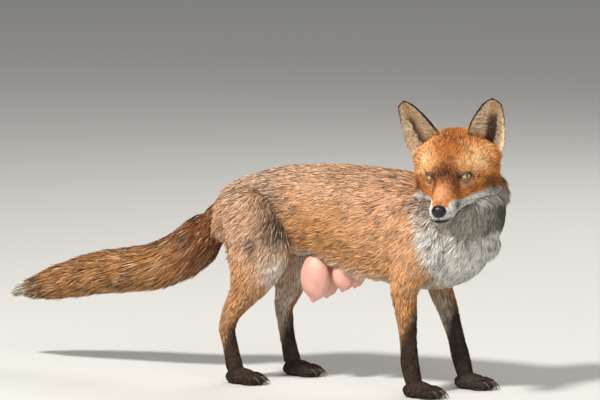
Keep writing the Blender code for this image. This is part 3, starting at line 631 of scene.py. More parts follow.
def face_colour(head):
    """The head's markings: gold temples, dark bridge and tear lines, white lips, cheeks and chin, with
    painted shade on the throat, the chin, the far side, the cheeks behind the eyes and the neck behind the
    cheeks."""
    side, left = folded(head), head[:, 1]
    x, wide, high = side.T
    edge = np.interp(x, *np.array(WHITE_EDGE).T) + ripple(side, 2.0, 5)[:, 0] * 0.18
    edge = edge - 1.6 * step(x, 4.0, 6.0) * (1 - step(wide, 0.55, 1.25))
    behind = (1 - step(x - 2.0 * (left < 0), -7.5, -5.5)) * step(wide, 3.0, 4.5)
    # painted shade under the jaw, over the throat's white hair
    throat = step(-high, 4.5, 5.2) * (1 - step(x, 2.0, 4.0)) * (1 - 0.9 * step(wide, 1.8, 3.0))
    colour = layered(
        marked(np.repeat(ORANGE[None], len(head), axis=0), side, FACE_MARKS),
        (mix(WHITE, SILVER, 0.05), step(edge - high, -0.20, 0.35)),
        (NAPE, behind),
        (THROAT, 0.94 * throat),
    )
    # painted shade on the lower part of the head's far side
    far_side_shade = step(left, 3.0, 5.5) * step(-high, 1.5, 3.0)
    lips = np.interp(x, [1.0, 5.0, 7.0], [0.18, 0.22, 0.40])
    reach, _ = from_eye(head)
    above = step(high - 0.25 * (wide - 2.45), -0.25, 0.25)
    return layered(
        colour * (1 - 0.45 * far_side_shade)[:, None],
        (DEEP_RED * 1.5, 0.80 * peak(line_distance(side, TEAR_LINE), 0, 0.60)),
        (BLACK, 0.97 * bell(side, (4.0, 2.1, -2.75), (0.95, 0.8, 0.55))),
        (BLACK, 0.95 * peak(line_distance(side, MOUTH_LINE), 0, lips)),
        (BLACK, 0.97 * bell(side, (7.6, 0.0, -3.45), (1.2, 1.5, 0.22))),
        # painted shade on the chin below the mouth
        (SILVER * 0.30, 0.9 * bell(side, (7.0, 0.0, -4.2), (1.5, 1.5, 0.55))),
        (DARK, (0.35 + 0.5 * above) * (1 - step(reach, 1.15, 1.45 + 0.55 * above))),
    )


def coat_colour(points, normals, place):
    """The markings of skin and coat alike, with painted shade on the throat, the thighs, the head and where
    the coat faces up, and how many tufts have pale and dark tips.
    """
    x, y, z = points.T
    up, side, table = normals[:, 2], folded(points), np.array(TRUNK)
    top, low = (np.interp(x, table[:, 0], table[:, i]) for i in (1, 2))
    rise = (z - low) / (top - low)
    drift = ripple(points, 0.05, 3)[:, 0]
    back, rear = step(rise, 0.5, 0.9), step(-x, 0.04, 0.12)
    pale = 0.05 + 0.15 * back * step(-x, -0.10, 0.0) + 0.20 * rear
    dark = 0.06 + 0.14 * back + 0.18 * rear
    colour = mix(OCHRE, ROSE_TAN, step(rise + 0.06 * drift, 0.45, 0.85))
    colour = mix(colour, HIP_TAN, step(-x + 0.02 * drift, 0.05, 0.11))
    # painted shade: the coat darker where it faces up, against the light from above
    colour = colour * (1 - 0.20 * step(up, 0.4, 0.9))[:, None]
    belly = step(-up, 0.35, 0.8) * (1 - step(rise, 0.10, 0.25)) * step(x, -0.10, -0.02)
    colour = marked(mix(colour, SILVER, 0.8 * belly), side, SIDE_MARKS)
    # the bib: white on the chest and up the throat, which turns with the head as it climbs the neck
    bib = step(x + 0.25 * (z - 0.24), 0.148, 0.172) * (1 - step(z, 0.28, 0.31))
    bib *= 1 - 0.9 * step(side[:, 1], 0.045, 0.075) * step(z, 0.24, 0.28)
    weight, along, _ = place.of("neck")
    neck = step(weight, 0.2, 0.6)
    at = np.clip((along * (LINE_POINTS - 1)).astype(int), 0, LINE_POINTS - 1)
    out = unit(points - LINES["neck"][0][at])
    turn = HEAD_YAW * 0.8 * step(along, 0.35, 1.0)
    throat = out[:, 0] * np.cos(turn) + out[:, 1] * np.sin(turn)
    edge = step(x - 0.5 * np.clip(z - 0.29, 0, 1), 0.150, 0.168)
    bib = np.maximum(bib, neck * step(throat, 0.05, 0.5) * edge)
    # painted shade on the throat's white hair below the head
    shade = neck * step(y - 0.6 * (x - 0.20), -0.090, -0.025) * step(z + 0.02 * drift, 0.17, 0.26)
    colour = layered(
        colour,
        (NAPE, neck * (1 - step(throat, 0.0, 0.4))),
        (mix(WHITE, SILVER, 0.12), bib),
        (THROAT, 0.94 * bib * shade),
    )
    pale, dark = pale * (1 - 0.6 * bib), blend(dark, 0.20, bib)
    # the brush: dark above and at its root, pale below, with a whitish tip
    weight, along, _ = place.of("tail")
    tail = step(weight, 0.35, 0.65)
    brush = layered(
        BRUSH,
        (BROWN, 0.45 * step(up + 0.2 * drift, 0.2, 0.9)),
        (OCHRE * 0.85, 0.6 * step(-up, -0.2, 0.9)),
        (DEEP_RED * 1.4, 0.75 * (step(along, 0.03, 0.10) * (1 - step(along, 0.16, 0.32)))),
        (DARK, 0.5 * step(along, 0.78, 0.86)),
        (SILVER, step(along + 0.03 * drift, 0.88, 0.94)),
    )
    colour = mix(colour, brush, tail)
    pale, dark = blend(pale, 0.12, tail), blend(dark, 0.30, tail)
    # the legs: orange outside, pale inside, with black stockings to the toes
    inner = step(-normals[:, 1] * np.sign(y), 0.2, 0.8)
    for name in LEGS:
        leg = step(place.of(name)[0], 0.4, 0.7) * (1 - step(z, 0.13, 0.185))
        stocking = (0.085, 0.135) if name.startswith("fore") else (0.055, 0.10)
        black = 1 - step(z - 0.03 * normals[:, 0], *stocking)
        colour = mix(colour, layered(OCHRE, (SILVER, 0.8 * inner), (BLACK * 1.4, 0.95 * black)), leg)
        pale, dark = blend(pale, 0.0, leg * black), blend(dark, 0.1, leg)
    face, head = step(place.of("head")[0], 0.35, 0.65), to_head(points)
    colour = mix(colour, face_colour(head), face)
    pale = blend(pale, 0.02 + 0.06 * bell(head, (-3.0, 0, 4.0), (2.0, 1.6, 2.0)), face)
    dark = blend(dark, 0.12 + 0.32 * bell(head, (-3.0, 0, 3.5), (3.5, 2.5, 2.5)), face)
    return colour, pale, dark


# ---------------------------------------------------------------- the lie and length of the coat
SKIRT = ((0.015, 0.0, 0.190), (0.085, 1.0, 0.018))  # the long hair along the belly's edge: middle, sizes
EAR_BASE = ((-6.2, 5.6, 1.2), (1.6, 1.8, 2.6))  # the long hair below and before the ears


def jaw_edge(head):
    """How much of the long hair below the corner of the mouth there is, from 0 to 1."""
    x, wide, high = folded(head).T
    return step(wide, 1.5, 2.6) * step(-high, 3.7, 4.3) * (1 - step(x, 2.0, 4.0)) * step(x, -4.0, -2.0)


def coat_lie(points, normals, place):
    """Where the tufts point: back along the trunk, down the legs, along the brush, and back from the nose."""
    x, _, z = points.T
    front, side = normals[:, 0], np.abs(normals[:, 1])
    flat = step(side, 0.3, 0.8)
    drop = side * (0.30 + 0.55 * step(x, 0.05, 0.16) + 0.55 * step(-x, 0.07, 0.15))
    trunk = layered(
        columns(-1.0, 0.0, -drop),
        ((-0.7, 0.0, -1.0), 0.8 * bell(points * (1, 0, 1), *SKIRT)),
        ((0.0, 0.0, -1.0), step(front, 0.3, 0.8) * step(x, 0.10, 0.18)),  # the front of the chest
        ((-0.3, 0.0, -1.0), step(front, 0.10, 0.35) * step(-x, -0.02, 0.04)),  # before the thigh
        ((-0.45, 0.0, -1.0), flat * (1 - step(z, 0.17, 0.25)) * step(-x, 0.05, 0.09)),  # the thigh
        ((-0.40, 0.0, -1.0), flat * (1 - step(z, 0.19, 0.26)) * step(x, 0.09, 0.13)),  # the upper arm
    )
    lie = unit(trunk) * place.of("trunk")[0][:, None]
    neck = unit((-0.25, 0.0, -1.0) + np.clip(-front, 0, 1)[:, None] * (-1.1, 0.0, 0.3))
    neck = mix(neck, (-1.0, 0.0, -0.2), step(normals[:, 2], 0.15, 0.6))
    lie += neck * place.of("neck")[0][:, None]
    weight, _, ahead = place.of("tail")
    lie += unit(ahead + (0.0, 0.0, -0.12)) * weight[:, None]
    for name in LEGS:
        weight, _, ahead = place.of(name)
        lie += unit(mix(ahead, trunk, 0.9 * step(z, 0.14, 0.23))) * weight[:, None]
    head = to_head(points)
    x, left, high = head.T
    hand, wide = np.sign(left), np.abs(left)
    cheek = step(wide, 2.2, 4.5) * (1 - step(high, -1.0, 1.5)) * (1 - step(x, -1.0, 1.5))
    hanging = np.maximum(cheek * step(-high, 2.2, 3.8) * (left > 0), jaw_edge(head))
    way = layered(
        columns(-1.0, 0.12 * hand, -0.18),
        ((-0.85, 0.0, 0.45), step(high, 0.5, 2.5)),  # the crown
        (columns(-0.75, 0.75 * hand, -0.62), cheek),
        ((-0.40, 0.0, -1.0), cheek * (left < 0) * step(-high, 0.5, 2.5)),  # pressed between head and shoulder
        (columns(-0.4, 1.0 * hand, -0.10), step(x, 6.4, 7.2)),  # round the nose
        (columns(-0.20, 0.40 * hand, -1.0), hanging),
        (columns(-0.45, 1.0 * hand, -0.1), np.clip(1.4 * bell(folded(head), *EAR_BASE), 0, 1)),
        ((-1.0, 0.0, -0.55), step(-high, 3.6, 4.6) * (1 - step(wide, 2.0, 3.5))),  # under the jaw
    )
    for sign in SIDES.values():
        off = head - (EYE_CENTRE * (1, sign, 1) + np.array((0.4, 0.35 * sign, 0.1)))
        way += np.exp(-(off**2).sum(1) / 1.7**2)[:, None] * unit(off) * (0.3, 0.9, 0.9)
    return lie + unit(way @ HEAD_FRAME[:3, :3].T) * place.of("head")[0][:, None]


def coat_size(points, normals, place):
    """The length of the tufts, in metres, how far they stand up, in radians, and their width."""
    x, y, z = points.T
    length, raised = np.full(len(x), 0.0215), np.full(len(x), math.radians(22))
    length = blend(length, 0.016, step(-normals[:, 2], 0.4, 0.9))
    fringe = bell(points * (1, 0, 1), (-0.080, 0.0, 0.180), (0.022, 1.0, 0.040))
    skirt = bell(points * (1, 0, 1), *SKIRT) * step(np.abs(y), 0.020, 0.035)
    length = length + 0.018 * fringe + 0.014 * skirt
    raised = raised + math.radians(22) * fringe + math.radians(30) * skirt
    neck = step(place.of("neck")[0], 0.2, 0.7)
    length, raised = blend(length, 0.020, neck), blend(raised, math.radians(25), neck)
    beyond = neck * step(y, 0.01, 0.04) * step(z, 0.27, 0.31)
    length, raised = blend(length, 0.013, beyond), blend(raised, math.radians(12), beyond)
    weight, along, _ = place.of("tail")
    tail = step(weight, 0.3, 0.7)
    brush = np.interp(along, [0, 0.1, 0.25, 0.8, 1.0], [0.020, 0.026, 0.038, 0.038, 0.024])
    length, raised = blend(length, brush, tail), blend(raised, math.radians(29), tail)
    own = np.interp(z, [0.0, 0.03, 0.12, 0.19, 0.25], [0.0055, 0.0065, 0.011, 0.017, 0.0215])
    rise = np.interp(z, [0.0, 0.1, 0.2], np.radians([15, 17, 22]))
    for name in LEGS:
        leg = step(place.of(name)[0], 0.3, 0.7)
        length, raised = blend(length, own, leg), blend(raised, rise, leg)
    head = to_head(points)
    side = folded(head)
    x, wide, high = side.T
    own = [2.2, 1.9, 1.35, 0.95, 0.70, 0.50, 0.42, 0.34]
    own = np.interp(x, [-11, -8, -5, -3, -1, 1, 3, 7], own) * CM
    cheek = step(wide, 2.6, 4.2) * (1 - step(high, -3.2, -1.5)) * (1 - step(x, -1.0, 2.0))
    beard = cheek * step(-high, 2.5, 3.8) * step(-x, 0.5, 2.0)
    ruff = (0.010 * cheek + 0.006 * beard) * np.where(head[:, 1] > 0, 0.45, 0.6)
    own = own + ruff + 0.011 * jaw_edge(head) * (1 - cheek)
    lower = step(-high, 3.5, 4.5) * (1 - step(x, -1.0, 1.5))
    own = own + 0.009 * lower * (1 - cheek)
    ear_base = bell(side, *EAR_BASE) + 0.7 * bell(side, (-6.0, 2.6, 4.2), (1.5, 1.5, 1.5))
    own = own + 0.007 * ear_base
    own = own * (0.45 + 0.55 * step(from_eye(head)[0], 1.5, 2.6))
    own = own * (0.30 + 0.70 * step(line_distance(side, MOUTH_LINE), 0.15, 0.60))
    face = step(place.of("head")[0], 0.3, 0.7)
    length = blend(length, own, face)
    raised = blend(raised, np.interp(x, [-8, -3, 0, 6], np.radians([24, 20, 15, 13])), face)
    beard = np.maximum(beard, jaw_edge(head))
    raised = raised + face * (math.radians(24) * ear_base + math.radians(20) * beard)
    width = np.clip(0.00040 + length * 0.052, 0.0006, 0.0019 - 0.0008 * face)
    return length, raised, width


# ---------------------------------------------------------------- tufts
def skin_triangles():
    """The skin's triangles: points, smoothed normals, corners, and which piece of the coat covers each."""
    mesh = bpy.data.objects["skin"].data
    mesh.calc_loop_triangles()
    points, normals = read(mesh.vertices, "co", 3), read(mesh.attributes["lay"].data, "vector", 3)
    corners = read(mesh.loop_triangles, "vertices", 3, np.int32)
    face = read(mesh.loop_triangles, "polygon_index", kind=np.int32)
    cover = read(mesh.attributes["cover"].data, "value", kind=np.int32)
    return points - BODY_ZERO, normals, corners, cover[face]


def scattered(corners, points, normals, count, density, rng):
    """Roots spread over triangles, by area times density, each at a random place inside its triangle."""
    a, b, c = (points[corners[:, i]] for i in range(3))
    share = np.linalg.norm(np.cross(b - a, c - a), axis=1) * density
    picked = np.searchsorted(np.cumsum(share) / share.sum(), rng.random(count)).clip(0, len(share) - 1)
    first, second = rng.random((2, count, 1))
    over = first + second > 1
    first, second = np.where(over, 1 - first, first), np.where(over, 1 - second, second)
    corner, shares = corners[picked], (1 - first - second, first, second)
    root, normal = (sum(value[corner[:, i]] * shares[i] for i in range(3)) for value in (points, normals))
    return root, unit(normal)


LOCK_SHAPE = np.array((0.5, 1.0, 0.8))
CELL_PRIMES = np.array((73856093, 19349663, 83492791))  # they give each cell of the grid a number of its own


def locks(points, cell):
    """The lock that each root belongs to: a cell of a grid, longer along the body than across it, and bent
    by a ripple, so that no rows show."""
    bent = points * LOCK_SHAPE + ripple(points, 4.1 * cell, 11) * cell * 0.55
    key = np.floor(bent / cell).astype(np.int64)
    return np.unique(key @ CELL_PRIMES, return_inverse=True)[1].reshape(-1)


def mean_over(groups, values):
    """The mean of the values in each group, given back to every member."""
    count = np.bincount(groups)
    sums = np.stack([np.bincount(groups, weights=values[:, i]) for i in range(values.shape[1])], axis=1)
    return (sums / count[:, None])[groups]


def tuft_map(owner, along, turn):
    """Each root's place on the unwrapped skin: a column a middle line, its length across, the angle up."""
    lines = np.unique(owner)
    u = np.zeros(len(owner))
    for column, line in enumerate(lines):
        own = owner == line
        start, end = along[own].min(), along[own].max()
        u[own] = (column + 0.03 + 0.94 * (along[own] - start) / max(end - start, 1e-6)) / len(lines)
    return columns(u, 0.02 + 0.96 * turn)


TUFT_PATCH = 0.003  # the side of each tuft's patch on the map
TUFT_CORNERS = np.array([(-0.5, -0.5), (0.5, -0.5), (0.4, 0.15), (-0.4, 0.15), (0.0, 0.5)]) * TUFT_PATCH


def flattened(way, normal):
    """Directions with the part along the normal taken out."""
    return way - (way * normal).sum(1)[:, None] * normal


def tufts(name, root, normal, lie, length, raised, width, colours, uv, rng, clump, cell, flutter=0.22):
    """Tufts of one shape: a strip that leaves the skin at its own angle, narrows, bends back along the body
    and ends in a point. The points of a lock's tufts are drawn together, and each tuft is rolled a little."""
    count = len(root)
    lie = flattened(unit(lie), normal)
    other = np.array((-1.0, 0.0, -0.25)) - (normal @ np.array((-1.0, 0.0, -0.25)))[:, None] * normal
    lie = unit(lie + other * (0.8 * (1 - step(np.linalg.norm(lie, axis=1), 0.2, 0.6)))[:, None])
    lie = lie + ripple(root, 0.022, 21) * 0.20 + ripple(root, 0.007, 22) * 0.10
    lie = unit(lie + rng.normal(size=(count, 3)) * flutter * 0.55)
    lie = unit(flattened(lie, normal))
    length = length * rng.uniform(0.72, 1.15, count)
    raised = raised * rng.uniform(0.55, 1.35, count)
    start = root - normal * (0.035 * length)[:, None]
    angles = (raised, 0.30 * raised)
    rising, lying = (lie * np.cos(angle)[:, None] + normal * np.sin(angle)[:, None] for angle in angles)
    middle = start + rising * (length * 0.52)[:, None]
    tip = middle + unit(lying) * (length * 0.48)[:, None]
    lock = locks(root, cell)
    pull = clump * rng.uniform(0.4, 1.2, count)[:, None]
    tip = tip + (mean_over(lock, tip) - tip) * pull
    middle = middle + (mean_over(lock, middle) - middle) * pull * 0.45
    across = unit(np.cross(lie, normal))
    roll = rng.normal(0, 0.38, count)
    across = across * np.cos(roll)[:, None] + np.cross(lie, across) * np.sin(roll)[:, None]
    half = across * (width * rng.uniform(0.75, 1.25, count) / 2)[:, None]
    points = np.stack([start - half, start + half, middle + half * 0.85, middle - half * 0.85, tip], axis=1)
    points[..., 2] = np.maximum(points[..., 2], TUFT_GAP)
    base = np.arange(count)[:, None] * len(TUFT_CORNERS)
    quads, tris = base + np.array((0, 1, 2, 3)), base + np.array((3, 2, 4))
    obj = mesh_object(name, (points.reshape(-1, 3), quads, tris))
    shades = np.stack([colours[0], colours[0], colours[1], colours[1], colours[2]], axis=1)
    paint(obj, "coat", np.clip(shades.reshape(-1, 3), 0.004, 0.92))
    spread = (uv[:, None] + TUFT_CORNERS[None]).reshape(-1, 2)
    map_corners(obj, "OFBake", spread[corner_vertices(obj.data)])
    return obj


def tinted(colour, pale, dark, root, rng, cell, depth):
    """Colours at a tuft's root, middle and tip: darker at the root, by the depth, uneven from lock to lock
    and tuft to tuft, and pale or dark at the tips of the given shares of the tufts."""
    count = len(colour)
    lock = locks(root, cell)
    by_lock = rng.normal(0, 1, lock.max() + 1)[lock]
    tone = np.clip(1 + 0.20 * by_lock + rng.normal(0, 0.19, count), 0.40, 1.6)[:, None]
    warm = 1 + rng.normal(0, 0.04, (count, 1)) * np.array((1.0, 0.0, -1.5))
    body = colour * tone * warm
    dice = rng.random(count) + 0.10 * np.clip(by_lock, -2, 2) * np.clip(pale / 0.1, 0, 1)
    is_pale, is_dark = (dice < pale)[:, None], (dice > 1 - dark)[:, None]
    light = mix(colour, CREAM, 0.6) * tone
    deep = mix(colour, DARK, 0.80)
    middle = np.where(is_pale, mix(body, light, 0.6), np.where(is_dark, mix(body, deep, 0.6), body))
    tip = np.where(is_pale, light * 1.08, np.where(is_dark, deep, body * 1.12))
    bottom = mix(body * depth, DARK, 0.35 * (1 - depth) / 0.65)
    return bottom, middle, tip


LID_CLEARANCE = 1.07 * EYE_RADIUS


def face_roots(root, normal):
    """The face's roots without those over the eyes, the nose and the mouth. Those by the lids are lifted out
    of the eyeball."""
    head = to_head(root)
    gap = np.interp(head[:, 0], [2.0, 5.5, 7.0], [0.03, 0.06, 0.20])
    keep = (from_eye(head)[0] > 1.14) & (bell(head, NOSE_CENTRE, NOSE_SIZE) < 0.42)
    keep &= line_distance(folded(head), MOUTH_LINE) > gap
    root, normal = root[keep], normal[keep]
    head = to_head(root)
    reach, radius = from_eye(head)
    low = (reach < 1.9) & (radius < LID_CLEARANCE)
    middle = eye_middles(head)
    lifted = from_head(middle + (head - middle) * (LID_CLEARANCE / radius)[:, None])
    return np.where(low[:, None], lifted, root), normal


def grow(name, count, density, clump, cell):
    """One piece of the coat over its own part of the skin."""
    rng = np.random.default_rng(COATS.index(name) + 40)
    points, normals, corners, cover = skin_triangles()
    corners = corners[cover == COATS.index(name)]
    root, normal = scattered(corners, points, normals, count, density(points[corners].mean(1)), rng)
    if name == "coat_face":
        root, normal = face_roots(root, normal)
    keep = root[:, 2] > ROOT_HEIGHT
    root, normal = root[keep], normal[keep]
    place = Place(root)
    sizes = coat_size(root, normal, place)
    keep = rng.random(len(root)) > gland_bareness(root)
    row = np.arange(len(root))
    uv = tuft_map(place.owner, place.along[row, place.owner], place.turn[row, place.owner])
    depth = 0.5 if name in ("coat_face", "coat_head") else 0.35
    shades = tinted(*coat_colour(root, normal, place), root, rng, cell, depth)
    chosen = [value[keep] for value in (root, normal, coat_lie(root, normal, place), *sizes)]
    return tufts(name, *chosen, [value[keep] for value in shades], uv[keep], rng, clump, cell)


def gland_bareness(points):
    """How bare the belly is round the milk glands: bells about each gland's middle."""
    bells = [1.3 * bell(folded(points), middle, np.array(size) * 0.9) for middle, size in GLANDS.values()]
    return np.clip(np.maximum(*bells), 0, 0.97)


# ---------------------------------------------------------------- materials
def node(tree, kind, *sources, **values):
    """A node with sockets joined to its first inputs, and its other inputs or its settings given by name."""
    made = tree.nodes.new("ShaderNode" + kind)
    for key, value in values.items():
        if key.replace("_", " ") in made.inputs:
            made.inputs[key.replace("_", " ")].default_value = value
        else:
            setattr(made, key, value)
    for i, source in enumerate(sources):
        tree.links.new(source, made.inputs[i])
    return made


def noise(tree, scale, detail=3.0):
    """A noise pattern over the object's own coordinates."""
    place = node(tree, "TexCoord").outputs["Object"]
    return node(tree, "TexNoise", place, Scale=scale, Detail=detail).outputs["Fac"]


def vector_math(tree, operation, source, second=None):
    """A vector sum's result, or its number where the sum gives one."""
    made = node(tree, "VectorMath", source, operation=operation)
    if second is not None:
        made.inputs[1].default_value = second
    return made.outputs["Value" if operation == "LENGTH" else "Vector"]


def mapped(tree, value, low, high, start=0.0, end=1.0):
    """A value between start and end carried over to one between low and high."""
    spans = {"From_Min": start, "From_Max": end, "To_Min": low, "To_Max": high}
    return node(tree, "MapRange", value, **spans).outputs["Result"]


def varied(tree, source, pattern, low, high):
    """The colour made darker and lighter by a pattern, between two factors."""
    scaled = node(tree, "VectorMath", source, operation="SCALE")
    tree.links.new(mapped(tree, pattern, low, high), scaled.inputs["Scale"])
    return scaled.outputs["Vector"]


def ramped(tree, value, *stops):
    """A value turned into a colour by stops, each a position and a colour."""
    ramp = node(tree, "ValToRGB", value)
    elements = ramp.color_ramp.elements
    for _ in stops[2:]:
        elements.new(0.5)
    for element, (at, tint) in zip(elements, stops):
        element.position = at
        element.color = (*np.clip(tint, 0, 1), 1.0)
    return ramp.outputs["Color"]


def new_material(name, colour=None, bump=None, **settings):
    """A material with the shader's inputs given by name. A function lays the nodes of its colour and of its
    pattern. A bump is a strength and a depth: it raises the pattern, or sinks it where a word follows."""
    material = bpy.data.materials.new(name)
    material.use_nodes = True
    tree = material.node_tree
    shader = tree.nodes["Principled BSDF"]
    if colour:
        tint, pattern = colour(tree)
        tree.links.new(tint, shader.inputs["Base Color"])
    if bump:
        relief = node(tree, "Bump", Strength=bump[0], Distance=bump[1], invert=len(bump) > 2)
        tree.links.new(pattern, relief.inputs["Height"])
        tree.links.new(relief.outputs["Normal"], shader.inputs["Normal"])
    for key, value in settings.items():
        shader.inputs[key.replace("_", " ")].default_value = value
    return material


def own_colours(scale, detail, low, high):
    """The piece's own colours, darker and lighter with a noise pattern."""

    def colour(tree):
        pattern = noise(tree, scale, detail)
        own = node(tree, "Attribute", attribute_name="coat").outputs["Color"]
        return varied(tree, own, pattern, low, high), pattern

    return colour


def two_colours(scale, first, last):
    """One colour running into another over a noise pattern."""

    def colour(tree):
        pattern = noise(tree, scale)
        return ramped(tree, pattern, (0.0, first), (1.0, last)), pattern

    return colour


def coat_material():
    """Hair: the tuft's own colours, a little uneven along its length, with a soft sheen."""
    colour = own_colours(700.0, 1.0, 0.80, 1.22)
    return new_material("fox_coat", colour, Roughness=0.65, Specular_IOR_Level=0.14)


# ---------------------------------------------------------------- shapes of the skin
def thinned_shapes():
    """The solid forms, each drawn in by the depth of the coat over it."""
    rows = [
        (x, 0, (top + low) / 2, half - 0.008, (top - low) / 2 - 0.008, (top - low) / 2 - 0.006, TRUNK_TAPER)
        for x, top, low, half in TRUNK
    ]
    shapes = [loft(rows, 60, 48)]
    rows = [(*at, half - 0.011, nape - 0.010, throat - 0.012, 0.0) for *at, half, nape, throat in NECK]
    shapes.append(loft(rows, 24, 40))
    shapes.append(loft([(x, 0, z, *[0.58 * radius] * 3, 0.0) for x, z, radius in TAIL], 60, 32, cap=1.0))
    rows = []
    for x, top, low, half, taper in HEAD:
        depth = np.interp(x, [-11, -8, -5, -3, -1, 1, 7], [0.85, 0.75, 0.5, 0.33, 0.22, 0.14, 0.09])
        tall = (top - low) / 2 - depth
        rows.append((x, 0, (top + low) / 2, half - depth, tall, tall, taper))
    vertices, quads, tris = loft(rows, 72, 64, cap=0.75)
    shapes.append((from_head(face_forms(vertices)), quads, tris))
    depth = ([0.0, 0.05, 0.12, 0.20, 0.24, 0.29], [0.0018, 0.0024, 0.0036, 0.0065, 0.010, 0.016])
    for name, side in SIDES.items():
        for table, offset, paw in LIMBS.values():
            x, y = paw + offset[name], LEG_SPREAD * side
            rows = [
                (at + offset[name] * share, y, z, *(np.array(sizes) - np.interp(z, *depth)), 0.0)
                for at, z, share, *sizes in table
            ]
            shapes.append(loft(rows, 60, 32, cap=0.4))
            shapes.append(ball((x - 0.004, y, PAW_SIZE[2] * 0.72), PAW_SIZE - 0.0016, 16, 24))
            shapes += [ball(toe, TOE_SIZE - 0.0010, 14, 20) for toe in toes(x, y)]
    return shapes


def toes(x, y):
    """The middles of the four toes of a paw: the two middle toes reach furthest."""
    return [
        (x + reach, y + across, PAW_SIZE[2] * 0.58)
        for reach, across in ((0.014, -0.0135), (0.0225, -0.0048), (0.0225, 0.0048), (0.014, 0.0135))
    ]


def face_forms(vertices):
    """Presses in the hollows before the eyes and swells brows, cheeks and whisker pads: each is a bell that
    moves the skin one way."""
    forms = [  # point on the left, direction, reach, width
        ((1.1, 3.0, -0.3), (-0.25, -1.0, 0.0), 0.42, 1.0),
        ((-0.7, 3.3, 1.5), (0.55, 0.55, 0.5), 0.28, 0.9),
        ((-1.6, 4.4, -2.0), (0.3, 0.9, -0.1), 0.35, 1.3),
        ((5.6, 1.8, -2.6), (0.2, 1.0, 0.0), 0.14, 1.0),
        ((-4.0, 4.6, -3.9), (-0.15, 0.9, -0.35), 1.9, 2.3),
        ((-6.0, 5.6, 1.0), (-0.1, 1.0, 0.1), 0.5, 2.0),
        ((-0.8, 3.0, -4.0), (0.0, 1.0, -0.1), 1.2, 1.8),
        ((1.6, 2.4, -4.2), (0.0, 1.0, -0.1), 0.25, 1.2),
    ]
    for point, direction, reach, width in forms:
        for side in SIDES.values():
            reach = reach * (0.65 if side > 0 and reach > 1.5 else 1.0)  # the far cheek is slimmer
            at = np.array(point) * (1, side, 1)
            way = unit(np.array(direction) * (1, side, 1))
            away = ((vertices - at) ** 2).sum(1) / width**2
            vertices = vertices + np.exp(-away)[:, None] * way * reach
    return vertices


def socketed(points):
    """The skin round the eyes: drawn to a low rim about the eyeball, and pressed in behind its opening."""
    head = to_head(points)
    reach, radius = from_eye(head)
    rim = EYE_RADIUS * np.interp(reach, [0.0, 1.15, 1.45, 1.9, 2.6], [0.84, 0.86, 1.06, 1.14, 1.2])
    wanted = blend(rim, radius, np.maximum(step(reach, 1.6, 2.7), step(radius, 1.4, 2.0)))
    side = eye_middles(head)
    moved = side + (head - side) * (wanted / np.maximum(radius, 1e-6))[:, None]
    near = (radius < 3.2) & (reach < 2.5)
    head[near] = moved[near]
    groove = peak(line_distance(folded(head), MOUTH_LINE), 0, 0.24) * (head[:, 0] > 0)
    head = head - groove[:, None] * unit(head - np.array((3.0, 0, -2.6))) * 0.30
    return from_head(head)


def relaxed(values, quads, share, rounds):
    """Values at a mesh's points, moved again and again by a share of the way to their neighbours' mean."""
    first, second = quads.ravel(), np.roll(quads, -1, axis=1).ravel()
    ends, others = np.concatenate([first, second]), np.concatenate([second, first])
    touching = np.bincount(ends, minlength=len(values))[:, None]
    for _ in range(rounds):
        mean = np.stack([np.bincount(ends, values[others, i], len(values)) for i in range(3)], axis=1)
        values = mix(values, mean / touching, 0.5 * share)
    return values


SKIN_ROUNDS, NORMAL_ROUNDS = 200, 60  # how often the skin and its normals are relaxed


def softened(points, quads):
    """The skin where thigh, shoulder, neck and tail meet the trunk, relaxed so that no crease is left
    between the forms."""
    centres = [  # middle, half sizes
        ((-0.100, 0.062, 0.262), (0.050, 0.045, 0.060)),
        ((-0.140, 0.055, 0.286), (0.055, 0.050, 0.050)),
        ((-0.165, 0.060, 0.280), (0.050, 0.040, 0.030)),
        ((0.120, 0.065, 0.260), (0.060, 0.035, 0.045)),
        ((-0.215, 0.0, 0.270), (0.025, 0.060, 0.030)),
        ((0.165, 0.0, 0.270), (0.050, 0.080, 0.050)),
        ((0.190, 0.020, 0.330), (0.050, 0.050, 0.050)),
    ]
    share = np.max([np.clip(2.0 * bell(folded(points), *centre), 0, 1) for centre in centres], axis=0)
    share = share * (1 - step(to_head(points)[:, 0], -9.0, -7.5))
    return relaxed(points, quads, share, SKIN_ROUNDS)


EAR_RINGS, EAR_HALF = 40, 22  # rings up the ear, and points across each of its faces


def ear_leaf(rise, across):
    """The left ear's middle surface in head centimetres: each cross line bows back from edge to edge as half
    an ellipse does. The cup is deepest a third of the way up and dies out at the tip."""
    at = (np.clip(rise, 0, 1) * 199).astype(int)
    inner, outer = (spline(edge, 200)[at] for edge in (EAR_INNER, EAR_OUTER))
    depth = EAR_DEPTH * (1 - rise) ** 0.8 * (0.7 + 0.6 * rise)
    back = -np.array((math.cos(EAR_FACING), math.sin(EAR_FACING), 0.0))
    share = ((1 - np.cos(across)) / 2)[..., None]
    return inner + (outer - inner) * share + back * (depth * np.sin(across))[..., None]


def ear_normal(rise, across):
    """The leaf's normal towards its open side: the cross product of its two slopes."""
    rise = np.clip(rise, 0.012, 0.985)
    side = ear_leaf(rise, across + 0.03) - ear_leaf(rise, across - 0.03)
    up = ear_leaf(rise + 0.011, across) - ear_leaf(rise - 0.011, across)
    return unit(np.cross(side, up))


def ear_grid():
    """How far up and across each point of the left ear's shell lies: the front first, then the back."""
    half = np.linspace(0.03, math.pi - 0.03, EAR_HALF)
    return np.meshgrid(np.linspace(0, 0.985, EAR_RINGS), np.concatenate([half, half[::-1]]), indexing="ij")


